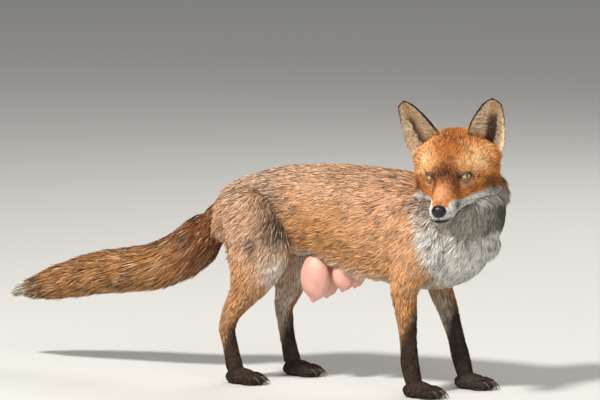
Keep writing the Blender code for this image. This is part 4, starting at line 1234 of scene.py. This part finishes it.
def ear_shell():
    """The left ear as a thin closed shell: up its rings, the front from the inner edge, then the back."""
    rise, across = ear_grid()
    wall = EAR_THICKNESS / 2 * (0.35 + 0.65 * np.sin(across)) * (1 - 0.4 * rise)
    points = ear_leaf(rise, across)
    points = points + ear_normal(rise, across) * (wall * np.repeat((1.0, -1.0), EAR_HALF))[..., None]
    tip = ear_leaf(np.array([1.0]), np.array([1.5]))[0]
    return closed_grid(points, [points[0].mean(0), tip])


def ear_colour(rise, across, front, centre):
    """Pale hair from the edges, a dark narrow hollow of darker skin with painted shade, a reddish tip inside,
    and a black rim and back.
    """
    share = across / math.pi
    # the hollow: darker skin with painted shade deep in the cup
    hollow = peak(share, centre, 0.16, 4) * (1 - step(rise, 0.55, 0.80)) * step(rise, 0.06, 0.18)
    rim = np.max(
        [
            (1 - step(share, 0.008, 0.03)) * step(rise, 0.22, 0.40),
            step(share, 0.975, 0.995) * step(rise, 0.50, 0.70),
            step(rise, 0.95, 0.99),
        ],
        axis=0,
    )
    inside = layered(
        EAR_PALE,
        (ROSE_TAN, 0.6 * peak(share, 0.36, 0.12)),
        ((0.085, 0.042, 0.030), 0.95 * hollow),
        (ROSE_TAN * (1.05, 0.95, 0.85), 0.8 * step(rise, 0.58, 0.85)),
        (ORANGE, (1 - step(rise, 0.16, 0.30)) * (1 - step(share, 0.15, 0.35))),
        (BLACK, 0.95 * rim),
    )
    back = mix(ORANGE, BLACK * 1.2, step(rise, 0.24, 0.42))
    back = mix(back, EAR_PALE, step(share, 0.84, 0.93) * (1 - step(rise, 0.45, 0.65)))
    return np.where(front[:, None], inside, back)


def colour_setting(name, description, default):
    """A colour in the panel."""
    return bpy.props.FloatVectorProperty(
        name=name, description=description, default=default, size=3, min=0, max=1, subtype="COLOR"
    )


class FoxSettings(bpy.types.PropertyGroup):
    """The sizes and colours that a user would change."""

    skin_grain: bpy.props.FloatProperty(
        name="Skin grain", description="The size of the faces that the skin is fused from", default=0.0025,
        min=0.002, max=0.006, unit="LENGTH",
    )
    tufts: bpy.props.IntProperty(
        name="Tufts", description="Tufts in each large piece of the coat", default=62000, min=1000, max=66000
    )
    iris: colour_setting("Iris", "The iris's main colour", (0.54, 0.44, 0.11))
    gland: colour_setting("Bare skin", "The colour of the milk glands", (0.74, 0.40, 0.32))
    floor: colour_setting("Floor", "The floor's colour", (0.62, 0.62, 0.60))


class FoxOperator:
    """What every operator here shares."""

    bl_options = {"REGISTER", "UNDO"}


class FOX_OT_skin(FoxOperator, bpy.types.Operator):
    """Fuse the body's forms into one skin, with sockets, mouth and ears"""

    bl_idname = "fox.skin"
    bl_label = "Skin"

    def execute(self, context):
        rough = mesh_object("skin_rough", joined(thinned_shapes()), 0)
        fuse = rough.modifiers.new("fuse", "REMESH")
        fuse.mode = "VOXEL"
        fuse.voxel_size = context.scene.fox.skin_grain
        smooth = rough.modifiers.new("smooth", "SMOOTH")
        smooth.factor = 0.5
        smooth.iterations = 6
        graph = context.evaluated_depsgraph_get()
        fused = bpy.data.meshes.new_from_object(rough.evaluated_get(graph))
        points, corners = read(fused.vertices, "co", 3).astype(float), corner_vertices(fused)
        if len(corners) != 4 * len(fused.polygons):
            raise RuntimeError("the fused skin has faces that aren't quads")
        bpy.data.objects.remove(rough)
        quads = corners.reshape(-1, 4)
        points = softened(points, quads)
        points[:, 2] = np.maximum(points[:, 2], FLOOR_GAP)
        points = socketed(points)
        left = ear_shell()
        obj = mesh_object("skin", joined([(points, quads, NO_TRIS), on_body(left), on_body(mirrored(left))]))
        mesh, count = obj.data, len(points)
        normals = read(mesh.vertices, "normal", 3)
        colour, _, _ = coat_colour(points, normals[:count], Place(points))
        # the coat follows the body's broad form, not the small steps between its parts
        body_part = step(points[:, 2], 0.14, 0.20) * (to_head(points)[:, 0] < -8)
        normals[:count] = unit(relaxed(normals[:count], quads, body_part, NORMAL_ROUNDS))
        mesh.attributes.new("lay", "FLOAT_VECTOR", "POINT").data.foreach_set("vector", normals.ravel())
        rise, across = (grid.ravel() for grid in ear_grid())
        front = np.tile(np.arange(2 * EAR_HALF) < EAR_HALF, EAR_RINGS)
        shades = [ear_colour(rise, across, front, centre) * EAR_SHADE for centre in EAR_HOLLOWS]
        shades = [np.vstack([shade, shade[:1], shade[-1:]]) for shade in shades]
        paint(obj, "coat", np.vstack([colour * SKIN_SHADE, *shades]))
        self.unwrap(obj, points, quads, len(left[0]))
        nodes = [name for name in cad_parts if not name.startswith(("eye", "nose", "gland"))]
        # the skin under the coat has the same markings, darker, with the fine grain of short under-hair
        under = own_colours(900.0, 3.0, 0.55, 1.15)
        material = new_material("fox_skin", under, (0.7, 0.0008), Roughness=0.8, Specular_IOR_Level=0.2)
        finished(obj, "fur_tan", material, *nodes)
        return {"FINISHED"}

    def unwrap(self, obj, points, quads, ear_size):
        """Says which coat covers each face, and maps each by its middle line: length across, angle up."""
        mesh, middles = obj.data, points[quads].mean(1)
        middle = Place(middles)
        cover = np.full(len(mesh.polygons), -1, np.int32)
        cover[: len(quads)] = regions(middles, middle)
        mesh.attributes.new("cover", "INT", "FACE").data.foreach_set("value", cover)
        own = middle.owner
        corner = Place(points[quads].reshape(-1, 3))
        repeat = np.repeat(own, 4)
        row = np.arange(len(repeat))
        along, turn = corner.along[row, repeat], corner.turn[row, repeat]
        centre = np.repeat(middle.turn[np.arange(len(own)), own], 4)
        turn = centre + (turn - centre + 0.5) % 1.0 - 0.5
        # the map's tiles lie in four columns and three rows: eight lines' tiles, then the two ears'
        corners = corner_vertices(mesh)
        uv = np.zeros((len(corners), 2))
        u, v = (repeat % 4 + 0.04 + 0.92 * along) / 4, (repeat // 4 + 0.08 + 0.84 * turn) / 3
        uv[: len(repeat)] = columns(u, v)
        ear, point = np.divmod(corners[len(repeat) :] - len(points), ear_size)
        ring, place = np.divmod(point, 2 * EAR_HALF)
        ring = np.minimum(ring, EAR_RINGS) / EAR_RINGS
        uv[len(repeat) :] = columns((ear + 0.05 + 0.9 * ring) / 4, (2.05 + 0.9 * place / (2 * EAR_HALF)) / 3)
        map_corners(obj, "OFBake", uv)


def even(points):
    return np.ones(len(points))


def face_density(points):
    """Thicker towards the nose, where the tufts are smallest."""
    return np.interp(to_head(points)[:, 0], [-3, 0, 3, 7], [1.0, 1.5, 2.2, 2.6])


def leg_density(points):
    return np.interp(points[:, 2], [0, 0.05, 0.17], [2.2, 1.6, 1.0])


class FOX_OT_coat(FoxOperator, bpy.types.Operator):
    """Grow the coat in eight pieces over the skin"""

    bl_idname = "fox.coat"
    bl_label = "Coat"

    def execute(self, context):
        count = context.scene.fox.tufts
        hair = coat_material()
        plan = {
            "coat_face": (count, face_density, 0.30, 0.0028, "fur_orange"),
            "coat_head": (count * 3 // 4, even, 0.45, 0.0050, "fur_orange"),
            "coat_neck": (count * 3 // 4, even, 0.50, 0.0070, "fur_orange"),
            "coat_chest": (count, even, 0.45, 0.0055, "fur_tan"),
            "coat_flank": (count, even, 0.45, 0.0055, "fur_tan"),
            "coat_hips": (count, even, 0.45, 0.0055, "fur_tan"),
            "coat_tail": (count, even, 0.50, 0.0075, "fur_brown"),
            "coat_legs": (count * 2 // 3, leg_density, 0.35, 0.0040, "fur_black"),
        }
        for name, (number, density, clump, cell, slot) in plan.items():
            finished(grow(name, number, density, clump, cell), slot, hair)
        return {"FINISHED"}


EAR_TUFTS = 18000


class FOX_OT_ear_coat(FoxOperator, bpy.types.Operator):
    """Grow the hair of the ears: short outside, long and pale across the opening"""

    bl_idname = "fox.ear_coat"
    bl_label = "Ear hair"

    def execute(self, context):
        rng = np.random.default_rng(71)
        count = EAR_TUFTS
        kind = rng.random(count)
        front = kind < 0.70
        rise = rng.random(count) ** 1.2 * 0.98 + 0.01
        across = np.arccos(1 - 2 * rng.random(count))
        edge = front & (kind < 0.45)
        inner = rng.random(count) < 0.62
        near = rng.random(count) ** 1.3
        across = np.where(edge, np.where(inner, 0.05 + 1.25 * near, 3.10 - 0.75 * near), across)
        fluff = front & ~edge & (rng.random(count) < 0.35)
        rise = np.where(fluff, 0.45 * rng.random(count), rise)
        across = np.where(fluff, 3.12 - 0.45 * rng.random(count), across)
        point = ear_leaf(rise, across)
        normal = ear_normal(rise, across)
        up = unit(ear_leaf(np.clip(rise + 0.02, 0, 1), across) - ear_leaf(np.clip(rise - 0.02, 0, 1), across))
        inward = np.where(across < math.pi / 2, 1.0, -1.0)[:, None]
        to_middle = unit(ear_leaf(rise, across + 0.05) - ear_leaf(rise, across - 0.05)) * inward
        facing = np.where(front, 1.0, -1.0)[:, None]
        root = point + normal * facing * EAR_THICKNESS * 0.30
        lie = np.where(edge[:, None], up * 0.45 + to_middle * 1.0, up)
        lie = np.where(fluff[:, None], -to_middle - up * 0.35, lie)
        length = np.where(front, 0.0050, 0.0055)
        long = 0.0105 * peak(rise, 0.25, 0.40) + 0.003
        length = np.where(edge, long * np.where(inner, 1.0, 0.6), length)
        raised = np.where(edge, math.radians(26), np.where(fluff, math.radians(22), math.radians(13)))
        base = ~front & (rise < 0.30)
        length = np.where(base | fluff, 0.013 * (1 - rise), length) * (1 - 0.6 * step(rise, 0.80, 0.97))
        rim = (across < 0.20) | (across > 2.9)
        pale_hair = (edge & ~(rim & (rise > 0.35))) | fluff
        colours = [ear_colour(rise, across, front, centre) for centre in EAR_HOLLOWS]
        colours = [mix(own, EAR_HAIR, 0.9 * pale_hair) for own in colours]
        both = []
        for sign in SIDES.values():
            flip = np.array((1, sign, 1))
            ways = [(way * flip) @ HEAD_FRAME[:3, :3].T for way in (normal * facing, lie)]
            both.append([from_head(root * flip), *ways])
        place, out, way = (np.vstack(pair) for pair in zip(*both))
        sizes = [np.tile(value, 2) for value in (length, raised, np.where(edge, 0.0009, 0.0008))]
        pale, dark = np.tile(np.where(front, 0.05, 0.02), 2), np.full(2 * count, 0.05)
        shades = tinted(np.vstack(colours), pale, dark, place, rng, 0.003, 0.85)
        u = np.concatenate([0.02 + 0.46 * rise, 0.52 + 0.46 * rise])
        v = np.tile(np.where(front, across, 2 * math.pi - across) / (2 * math.pi), 2) * 0.96 + 0.02
        obj = tufts("coat_ears", place, out, way, *sizes, shades, columns(u, v), rng, 0.25, 0.0035, 0.18)
        finished(obj, "fur_black", coat_material())
        return {"FINISHED"}


BAND_SPAN = 0.2  # the reach, in turns of the eye, that the iris's colour stops are spread over
SLIT_WIDTH, SLIT_HEIGHT = 0.019, 0.058  # the pupil's half sizes, in turns of the eye


class FOX_OT_eyes(FoxOperator, bpy.types.Operator):
    """Make the eyeballs and the rims of the lids"""

    bl_idname = "fox.eyes"
    bl_label = "Eyes"

    def execute(self, context):
        self.eyeballs(context.scene.fox.iris)
        self.lids()
        return {"FINISHED"}

    def eyeballs(self, colour):
        """Spheres swollen by a bell at the cornea. The map holds the angles across and up from the axis."""
        polar = np.radians(180 - np.linspace(2, 179, 60))
        angle = np.linspace(0, 2 * math.pi, 64, endpoint=False)
        polar_grid, angle_grid = np.meshgrid(polar, angle, indexing="ij")
        bulge = EYE_RADIUS * (0.975 + 0.045 * peak(polar_grid, 0, 0.55))

        def place(polar, turn, radius):
            sine = np.sin(polar)
            return eye_point(np.cos(polar), sine * np.cos(turn), sine * np.sin(turn), radius)

        points = place(polar_grid, angle_grid, bulge)
        poles = place(np.array([math.pi, 0.0]), np.zeros(2), np.array([0.975, 1.02]) * EYE_RADIUS)
        left = closed_grid(points, poles)
        gaze = columns(polar_grid * np.cos(angle_grid), polar_grid * np.sin(angle_grid)) / (2 * math.pi)
        gaze = 0.5 + np.vstack([gaze.reshape(-1, 2), [(-0.5, 0.0), (0.0, 0.0)]])
        settings = {"Roughness": 0.22, "Coat_Weight": 1.0, "Coat_Roughness": 0.02}
        material = new_material("fox_eye", lambda tree: self.iris(tree, np.array(colour)), **settings)
        for name, shape in (("left", left), ("right", mirrored(left))):
            obj = mesh_object(f"eyeball_{name}", on_body(shape))
            map_corners(obj, "gaze", gaze[corner_vertices(obj.data)])
            finished(obj, "eye_amber", material, f"eye_{name}")

    def iris(self, tree, colour):
        """Rings about the axis: bright inner iris, a dark outer ring, then the brown white, with fibres,
        painted shade below the upper lid and a slit pupil."""
        gaze = node(tree, "UVMap", uv_map="gaze").outputs["UV"]
        centred = vector_math(tree, "SUBTRACT", gaze, (0.5, 0.5, 0.0))
        share = node(tree, "Math", vector_math(tree, "LENGTH", centred), operation="DIVIDE")
        share.inputs[1].default_value = BAND_SPAN
        bands = [  # reach in turns of the eye, colour
            (0.000, colour * (0.55, 0.42, 0.3)),
            (0.030, colour * (0.95, 0.85, 0.7)),
            (0.060, colour * 1.05),
            (0.092, colour * 0.9),
            (0.106, (0.10, 0.055, 0.02)),
            (0.116, (0.025, 0.015, 0.012)),
            (0.160, (0.05, 0.03, 0.025)),
        ]
        rings = ramped(tree, share.outputs["Value"], *[(at / BAND_SPAN, tint) for at, tint in bands])
        fibres = node(tree, "TexNoise", vector_math(tree, "NORMALIZE", centred), Scale=9.0, Detail=3.0)
        uneven = varied(tree, rings, fibres.outputs["Fac"], 0.55, 1.45)
        # painted shade from the upper lid: the iris darker towards its top
        height = node(tree, "SeparateXYZ", centred).outputs["Y"]
        shaded = node(tree, "Mix", data_type="RGBA", blend_type="MULTIPLY")
        shaded.inputs[0].default_value = 1.0
        tree.links.new(uneven, shaded.inputs[6])
        tree.links.new(mapped(tree, height, 1.0, 0.25, -0.01, 0.055), shaded.inputs[7])
        squashed = vector_math(tree, "MULTIPLY", centred, (1 / SLIT_WIDTH, 1 / SLIT_HEIGHT, 0.0))
        slit = mapped(tree, vector_math(tree, "LENGTH", squashed), 0.0, 1.0, 0.85, 1.10)
        pupil = node(tree, "Mix", slit, data_type="RGBA")
        pupil.inputs[6].default_value = (0.004, 0.004, 0.004, 1)
        tree.links.new(shaded.outputs[2], pupil.inputs[7])
        return pupil.outputs[2], None

    def lids(self):
        """The rims: an almond on the eyeball's sphere, carried out over a rounded edge and under the skin, as
        a tube. The inner corner is drawn out and down to a point."""
        angle = np.linspace(0, 2 * math.pi, 96, endpoint=False)
        upper = np.sin(angle) > 0
        alpha = LID_REACH * np.cos(angle)
        beta = np.where(upper, LID_UP, LID_DOWN) * np.sin(angle) * np.abs(np.sin(angle)) ** 0.25
        corner = peak(angle, math.pi, 0.42)
        alpha = alpha - math.radians(16) * corner
        beta = beta - math.radians(8) * corner
        brow = 0.05 * np.clip(np.sin(angle), 0, 1)
        profile = [  # reach as a share of the opening's, distance from the eye's middle
            (0.99, 0.93), (0.98, 1.00), (1.00, 1.022), (1.06, 1.035), (1.18, 1.040), (1.50, 1.060),
            (1.80, 1.020), (1.80, 0.92), (1.3, 0.90),
        ]
        rings = []
        for share, far in profile:
            out = far + brow * (far > 1)
            rings.append(on_eye(alpha * share, beta * (1 + 1.5 * (share - 1)), out * EYE_RADIUS))
        left = ring_grid(np.stack(rings)[::-1])
        shape = joined([left, mirrored(left)])
        obj = mesh_object("eyelids", on_body(shape))
        reach = np.repeat([row[0] for row in profile][::-1], 96)
        around, high = np.tile(angle, len(profile)), np.tile(upper, len(profile))
        pink = peak(around, math.pi, 0.36) * (reach < 1.4)
        outside = np.where(high[:, None], BROWN * 0.9, CREAM * (0.50, 0.36, 0.31))
        shade = mix(BLACK * 0.9, outside, step(reach, np.where(high, 1.04, 1.01), np.where(high, 1.35, 1.25)))
        shade = mix(shade, (0.36, 0.25, 0.25), 0.7 * pink)
        paint(obj, "coat", np.vstack([shade, shade]))
        material = new_material("fox_lid", own_colours(1500.0, 3.0, 0.7, 1.3), (0.4, 0.0003), Roughness=0.6)
        finished(obj, "nose_black", material)


class FOX_OT_nose(FoxOperator, bpy.types.Operator):
    """Make the nose, the lips and the whiskers"""

    bl_idname = "fox.nose"
    bl_label = "Nose, lips and whiskers"

    def execute(self, context):
        material = self.wet_black()
        self.nose(material)
        self.lips(material)
        self.whiskers()
        return {"FINISHED"}

    def wet_black(self):
        """Damp black skin: small pebbles raised between fine furrows, with a broken gloss."""

        def pebbled(tree):
            place = node(tree, "TexCoord").outputs["Object"]
            pebbles = node(tree, "TexVoronoi", place, Scale=1100.0).outputs["Distance"]
            return ramped(tree, pebbles, (0.0, (0.012, 0.011, 0.012)), (1.0, (0.004, 0.004, 0.004))), pebbles

        gloss = {"Specular_IOR_Level": 0.32, "Coat_Weight": 0.22, "Coat_Roughness": 0.15}
        return new_material("fox_nose", pebbled, (0.5, 0.0003, "inwards"), Roughness=0.36, **gloss)

    def nose(self, material):
        """An egg cleft below, with a nostril pressed in on each side and drawn out to a slit."""
        vertices, quads, tris = ball((0, 0, 0), (1, 1, 1), 60, 84)
        vertices = unit(vertices)
        ahead, aside, above = vertices.T
        press = 0.09 * (peak(aside, 0, 0.06) * (ahead > 0) * step(-above, -0.1, 0.4))
        for side in SIDES.values():
            nostril = unit(np.array((0.80, 0.56 * side, -0.16)))
            slit = unit(np.array((0.55, 0.80 * side, -0.22)))
            press = press + 0.22 * np.exp(-((vertices - nostril) ** 2).sum(1) / 0.16**2)
            press = press + 0.16 * np.exp(-((vertices - slit) ** 2).sum(1) / 0.20**2)
        vertices = vertices * (1 - press)[:, None]
        vertices[:, 1] *= 1 + 0.08 * above
        obj = mesh_object("nose_pad", on_body((vertices * NOSE_SIZE + NOSE_CENTRE, quads, tris)))
        finished(obj, "nose_black", material, "nose")

    def lips(self, material):
        """A thin tube along the mouth, from corner to corner past the cleft below the nose."""
        line = spline(MOUTH_LINE, 40)
        line = line[line[:, 0] > 3.2]
        path = np.vstack([line[::-1] * (1, -1, 1), line[1:]])
        lips = tapered_tube(path, 0.03 + 0.08 * peak(np.linspace(-1, 1, len(path)), 0, 0.25), 12)
        cleft = spline([(7.90, 0, -2.80), (7.86, 0, -3.1), (7.78, 0, -3.4)], 12)
        shape = joined([lips, tapered_tube(cleft, np.linspace(0.07, 0.05, 12), 10)])
        finished(mesh_object("lips", on_body(shape)), "nose_black", material)

    def whiskers(self):
        """Black bristles on each whisker pad: each path leaves sideways and back and sags with the square of
        its length."""
        rng = np.random.default_rng(9)
        shapes = []
        t = np.linspace(0, 1, 9)
        sag, radii = np.outer(t**2, (-0.9, -0.25, -0.55)), np.linspace(0.00013, 0.00003, 9)
        for side in SIDES.values():
            for row, column in np.ndindex(4, 4):
                start = np.array((5.7 - 0.62 * column, 1.62 + 0.11 * column, -1.9 - 0.34 * row))
                back = -0.10 - 0.22 * column + rng.normal(0, 0.08)
                down = 0.10 - 0.17 * row + rng.normal(0, 0.05)
                reach = rng.uniform(3.2, 5.6)
                path = start + np.outer(t, unit(np.array((back, 1.0, down)))) * reach + sag * reach * 0.35
                shapes.append(tapered_tube(from_head(path * (1, side, 1)), radii, 4))
        bristle = two_colours(300.0, (0.015, 0.012, 0.010), (0.05, 0.035, 0.028))
        material = new_material("fox_whisker", bristle, Roughness=0.4)
        finished(mesh_object("whiskers", joined(shapes)), "nose_black", material)


class FOX_OT_feet(FoxOperator, bpy.types.Operator):
    """Make the claws and the pads of the four paws"""

    bl_idname = "fox.feet"
    bl_label = "Claws and pads"

    def execute(self, context):
        claws, pads = [], []
        t = np.linspace(0, 1, 7)
        for _, offset, paw in LIMBS.values():
            for name, side in SIDES.items():
                x, y = paw + offset[name], LEG_SPREAD * side
                for toe_x, toe_y, toe_z in toes(x, y):
                    start = np.array((toe_x + 0.0095, toe_y, toe_z + 0.0035))
                    path = start + columns(0.0125 * t, 0.0, 0.001 * t - 0.0105 * t**2)
                    path[:, 2] = np.maximum(path[:, 2], FLOOR_GAP)
                    claws.append(tapered_tube(path, 0.0020 * (1 - t) ** 0.6 + 0.0002, 8))
                    pads.append(ball((toe_x + 0.002, toe_y, 0.0030), (0.0085, 0.0058, 0.0028), 7, 14))
                pads.append(ball((x - 0.006, y, 0.0034), (0.0125, 0.0115, 0.0032), 9, 18))
        horn = two_colours(240.0, (0.03, 0.022, 0.018), (0.12, 0.09, 0.065))
        horn = new_material("fox_claw", horn, Roughness=0.35)
        finished(mesh_object("claws", joined(claws)), "fur_black", horn)
        leather = two_colours(1300.0, (0.02, 0.015, 0.014), (0.07, 0.05, 0.045))
        leather = new_material("fox_pad", leather, (0.6, 0.0004), Roughness=0.75)
        finished(mesh_object("paw_pads", joined(pads)), "fur_black", leather)
        return {"FINISHED"}


class FOX_OT_glands(FoxOperator, bpy.types.Operator):
    """Make the four bare milk glands, each with its teat"""

    bl_idname = "fox.glands"
    bl_label = "Milk glands"

    def execute(self, context):
        shapes = []
        for middle, size in GLANDS.values():
            vertices, quads, tris = ball((0, 0, 0), (1, 1, 1), 48, 60)
            down = unit(np.array((-0.12, 0.28, -1.0)))
            near = np.arccos(np.clip(vertices @ down, -1, 1))
            teat = 0.10 * peak(near, 0, 0.16, 4) + 0.03 * peak(near, 0, 0.40)
            fold = 0.022 * ripple(vertices, 0.9, 31)[:, 0] + 0.006 * ripple(vertices, 0.25, 32)[:, 0]
            vertices = vertices * (0.95 + teat + fold)[:, None]
            left = (vertices * np.array(size) + np.array(middle), quads, tris)
            shapes += [left, mirrored(left)]
        pink = np.array(context.scene.fox.gland)

        def bare(tree):
            stops = (0.3, pink * (1.0, 0.86, 0.84)), (0.75, pink * (1.08, 1.25, 1.25))
            return ramped(tree, noise(tree, 45.0), *stops), noise(tree, 1400.0)

        soft = {"Subsurface_Weight": 0.25, "Subsurface_Radius": (0.006, 0.002, 0.001)}
        material = new_material("fox_bare_skin", bare, (0.35, 0.0004), Roughness=0.5, **soft)
        nodes = [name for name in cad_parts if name.startswith("gland")]
        finished(mesh_object("milk_glands", joined(shapes)), "skin_pink", material, *nodes)
        return {"FINISHED"}


LAMPS = [  # name, place, width, power in watts
    ("key", (-0.6, -2.9, 3.9), 0.6, 280.0),
    ("fill", (2.6, -2.4, 2.6), 2.2, 34.0),
    ("rim", (0.6, 2.6, 2.4), 1.8, 40.0),
]
LAMP_AIM = Vector((0.0, 0.0, 0.25))
CAMERA_TURN, CAMERA_RISE = math.radians(25), math.radians(7)
CAMERA_AIM = Vector((0.0703, 0.0355, 0.2829))
CAMERA_FAR, CAMERA_LENS = 6.0, 234.0


class FOX_OT_stage(FoxOperator, bpy.types.Operator):
    """Lay the pale floor, hang the soft lights and set the camera"""

    bl_idname = "fox.stage"
    bl_label = "Floor, lights and camera"

    def execute(self, context):
        reach = 30.0
        corners = np.array([(-1, -1, 0), (1, -1, 0), (1, 1, 0), (-1, 1, 0)]) * reach
        floor = mesh_object("floor", (corners, np.array([(0, 1, 2, 3)]), NO_TRIS), 0)
        colour = (*context.scene.fox.floor, 1)
        floor.data.materials.append(new_material("floor_paint", Base_Color=colour, Roughness=0.9))
        world = bpy.data.worlds.new("studio")
        world.use_nodes = True
        background = world.node_tree.nodes["Background"]
        background.inputs["Color"].default_value = (1.0, 0.99, 0.97, 1)
        background.inputs["Strength"].default_value = 0.28
        context.scene.world = world
        for name, place, size, power in LAMPS:
            lamp = bpy.data.lights.new(name, "AREA")
            lamp.shape, lamp.size, lamp.energy = "DISK", size, power
            lamp.color = (1.0, 0.97, 0.93)
            light = bpy.data.objects.new(name, lamp)
            light.location = place
            light.rotation_euler = (LAMP_AIM - Vector(place)).to_track_quat("-Z", "Y").to_euler()
            context.scene.collection.objects.link(light)
        lens = bpy.data.cameras.new("camera")
        lens.lens, lens.sensor_width = CAMERA_LENS, 36.0
        lens.clip_end = 100.0
        camera = bpy.data.objects.new("camera", lens)
        ahead = Vector((-math.sin(CAMERA_TURN), math.cos(CAMERA_TURN), 0)) * math.cos(CAMERA_RISE)
        ahead.z = -math.sin(CAMERA_RISE)
        camera.location = CAMERA_AIM - CAMERA_FAR * ahead
        camera.rotation_euler = ahead.to_track_quat("-Z", "Y").to_euler()
        context.scene.collection.objects.link(camera)
        context.scene.camera = camera
        context.scene.view_settings.view_transform = "Standard"
        return {"FINISHED"}


STEPS = (
    FOX_OT_skin, FOX_OT_coat, FOX_OT_ear_coat, FOX_OT_eyes, FOX_OT_nose, FOX_OT_feet, FOX_OT_glands,
    FOX_OT_stage,
)


class FOX_PT_panel(bpy.types.Panel):
    """The fox's settings and its pieces in the order in which they are made"""

    bl_idname = "FOX_PT_panel"
    bl_label = "Red fox"
    bl_space_type = "VIEW_3D"
    bl_region_type = "UI"
    bl_category = "Fox"

    def draw(self, context):
        for name in FoxSettings.__annotations__:
            self.layout.prop(context.scene.fox, name)
        for piece in STEPS:
            self.layout.operator(piece.bl_idname)


CLASSES = (FoxSettings, *STEPS, FOX_PT_panel)


def register():
    for kind in CLASSES:
        bpy.utils.register_class(kind)
    bpy.types.Scene.fox = bpy.props.PointerProperty(type=FoxSettings)


def unregister():
    del bpy.types.Scene.fox
    for kind in reversed(CLASSES):
        bpy.utils.unregister_class(kind)


def main():
    """Makes every piece in order."""
    register()
    for piece in STEPS:
        group, name = piece.bl_idname.split(".")
        getattr(getattr(bpy.ops, group), name)()


if __name__ == "__main__":
    main()
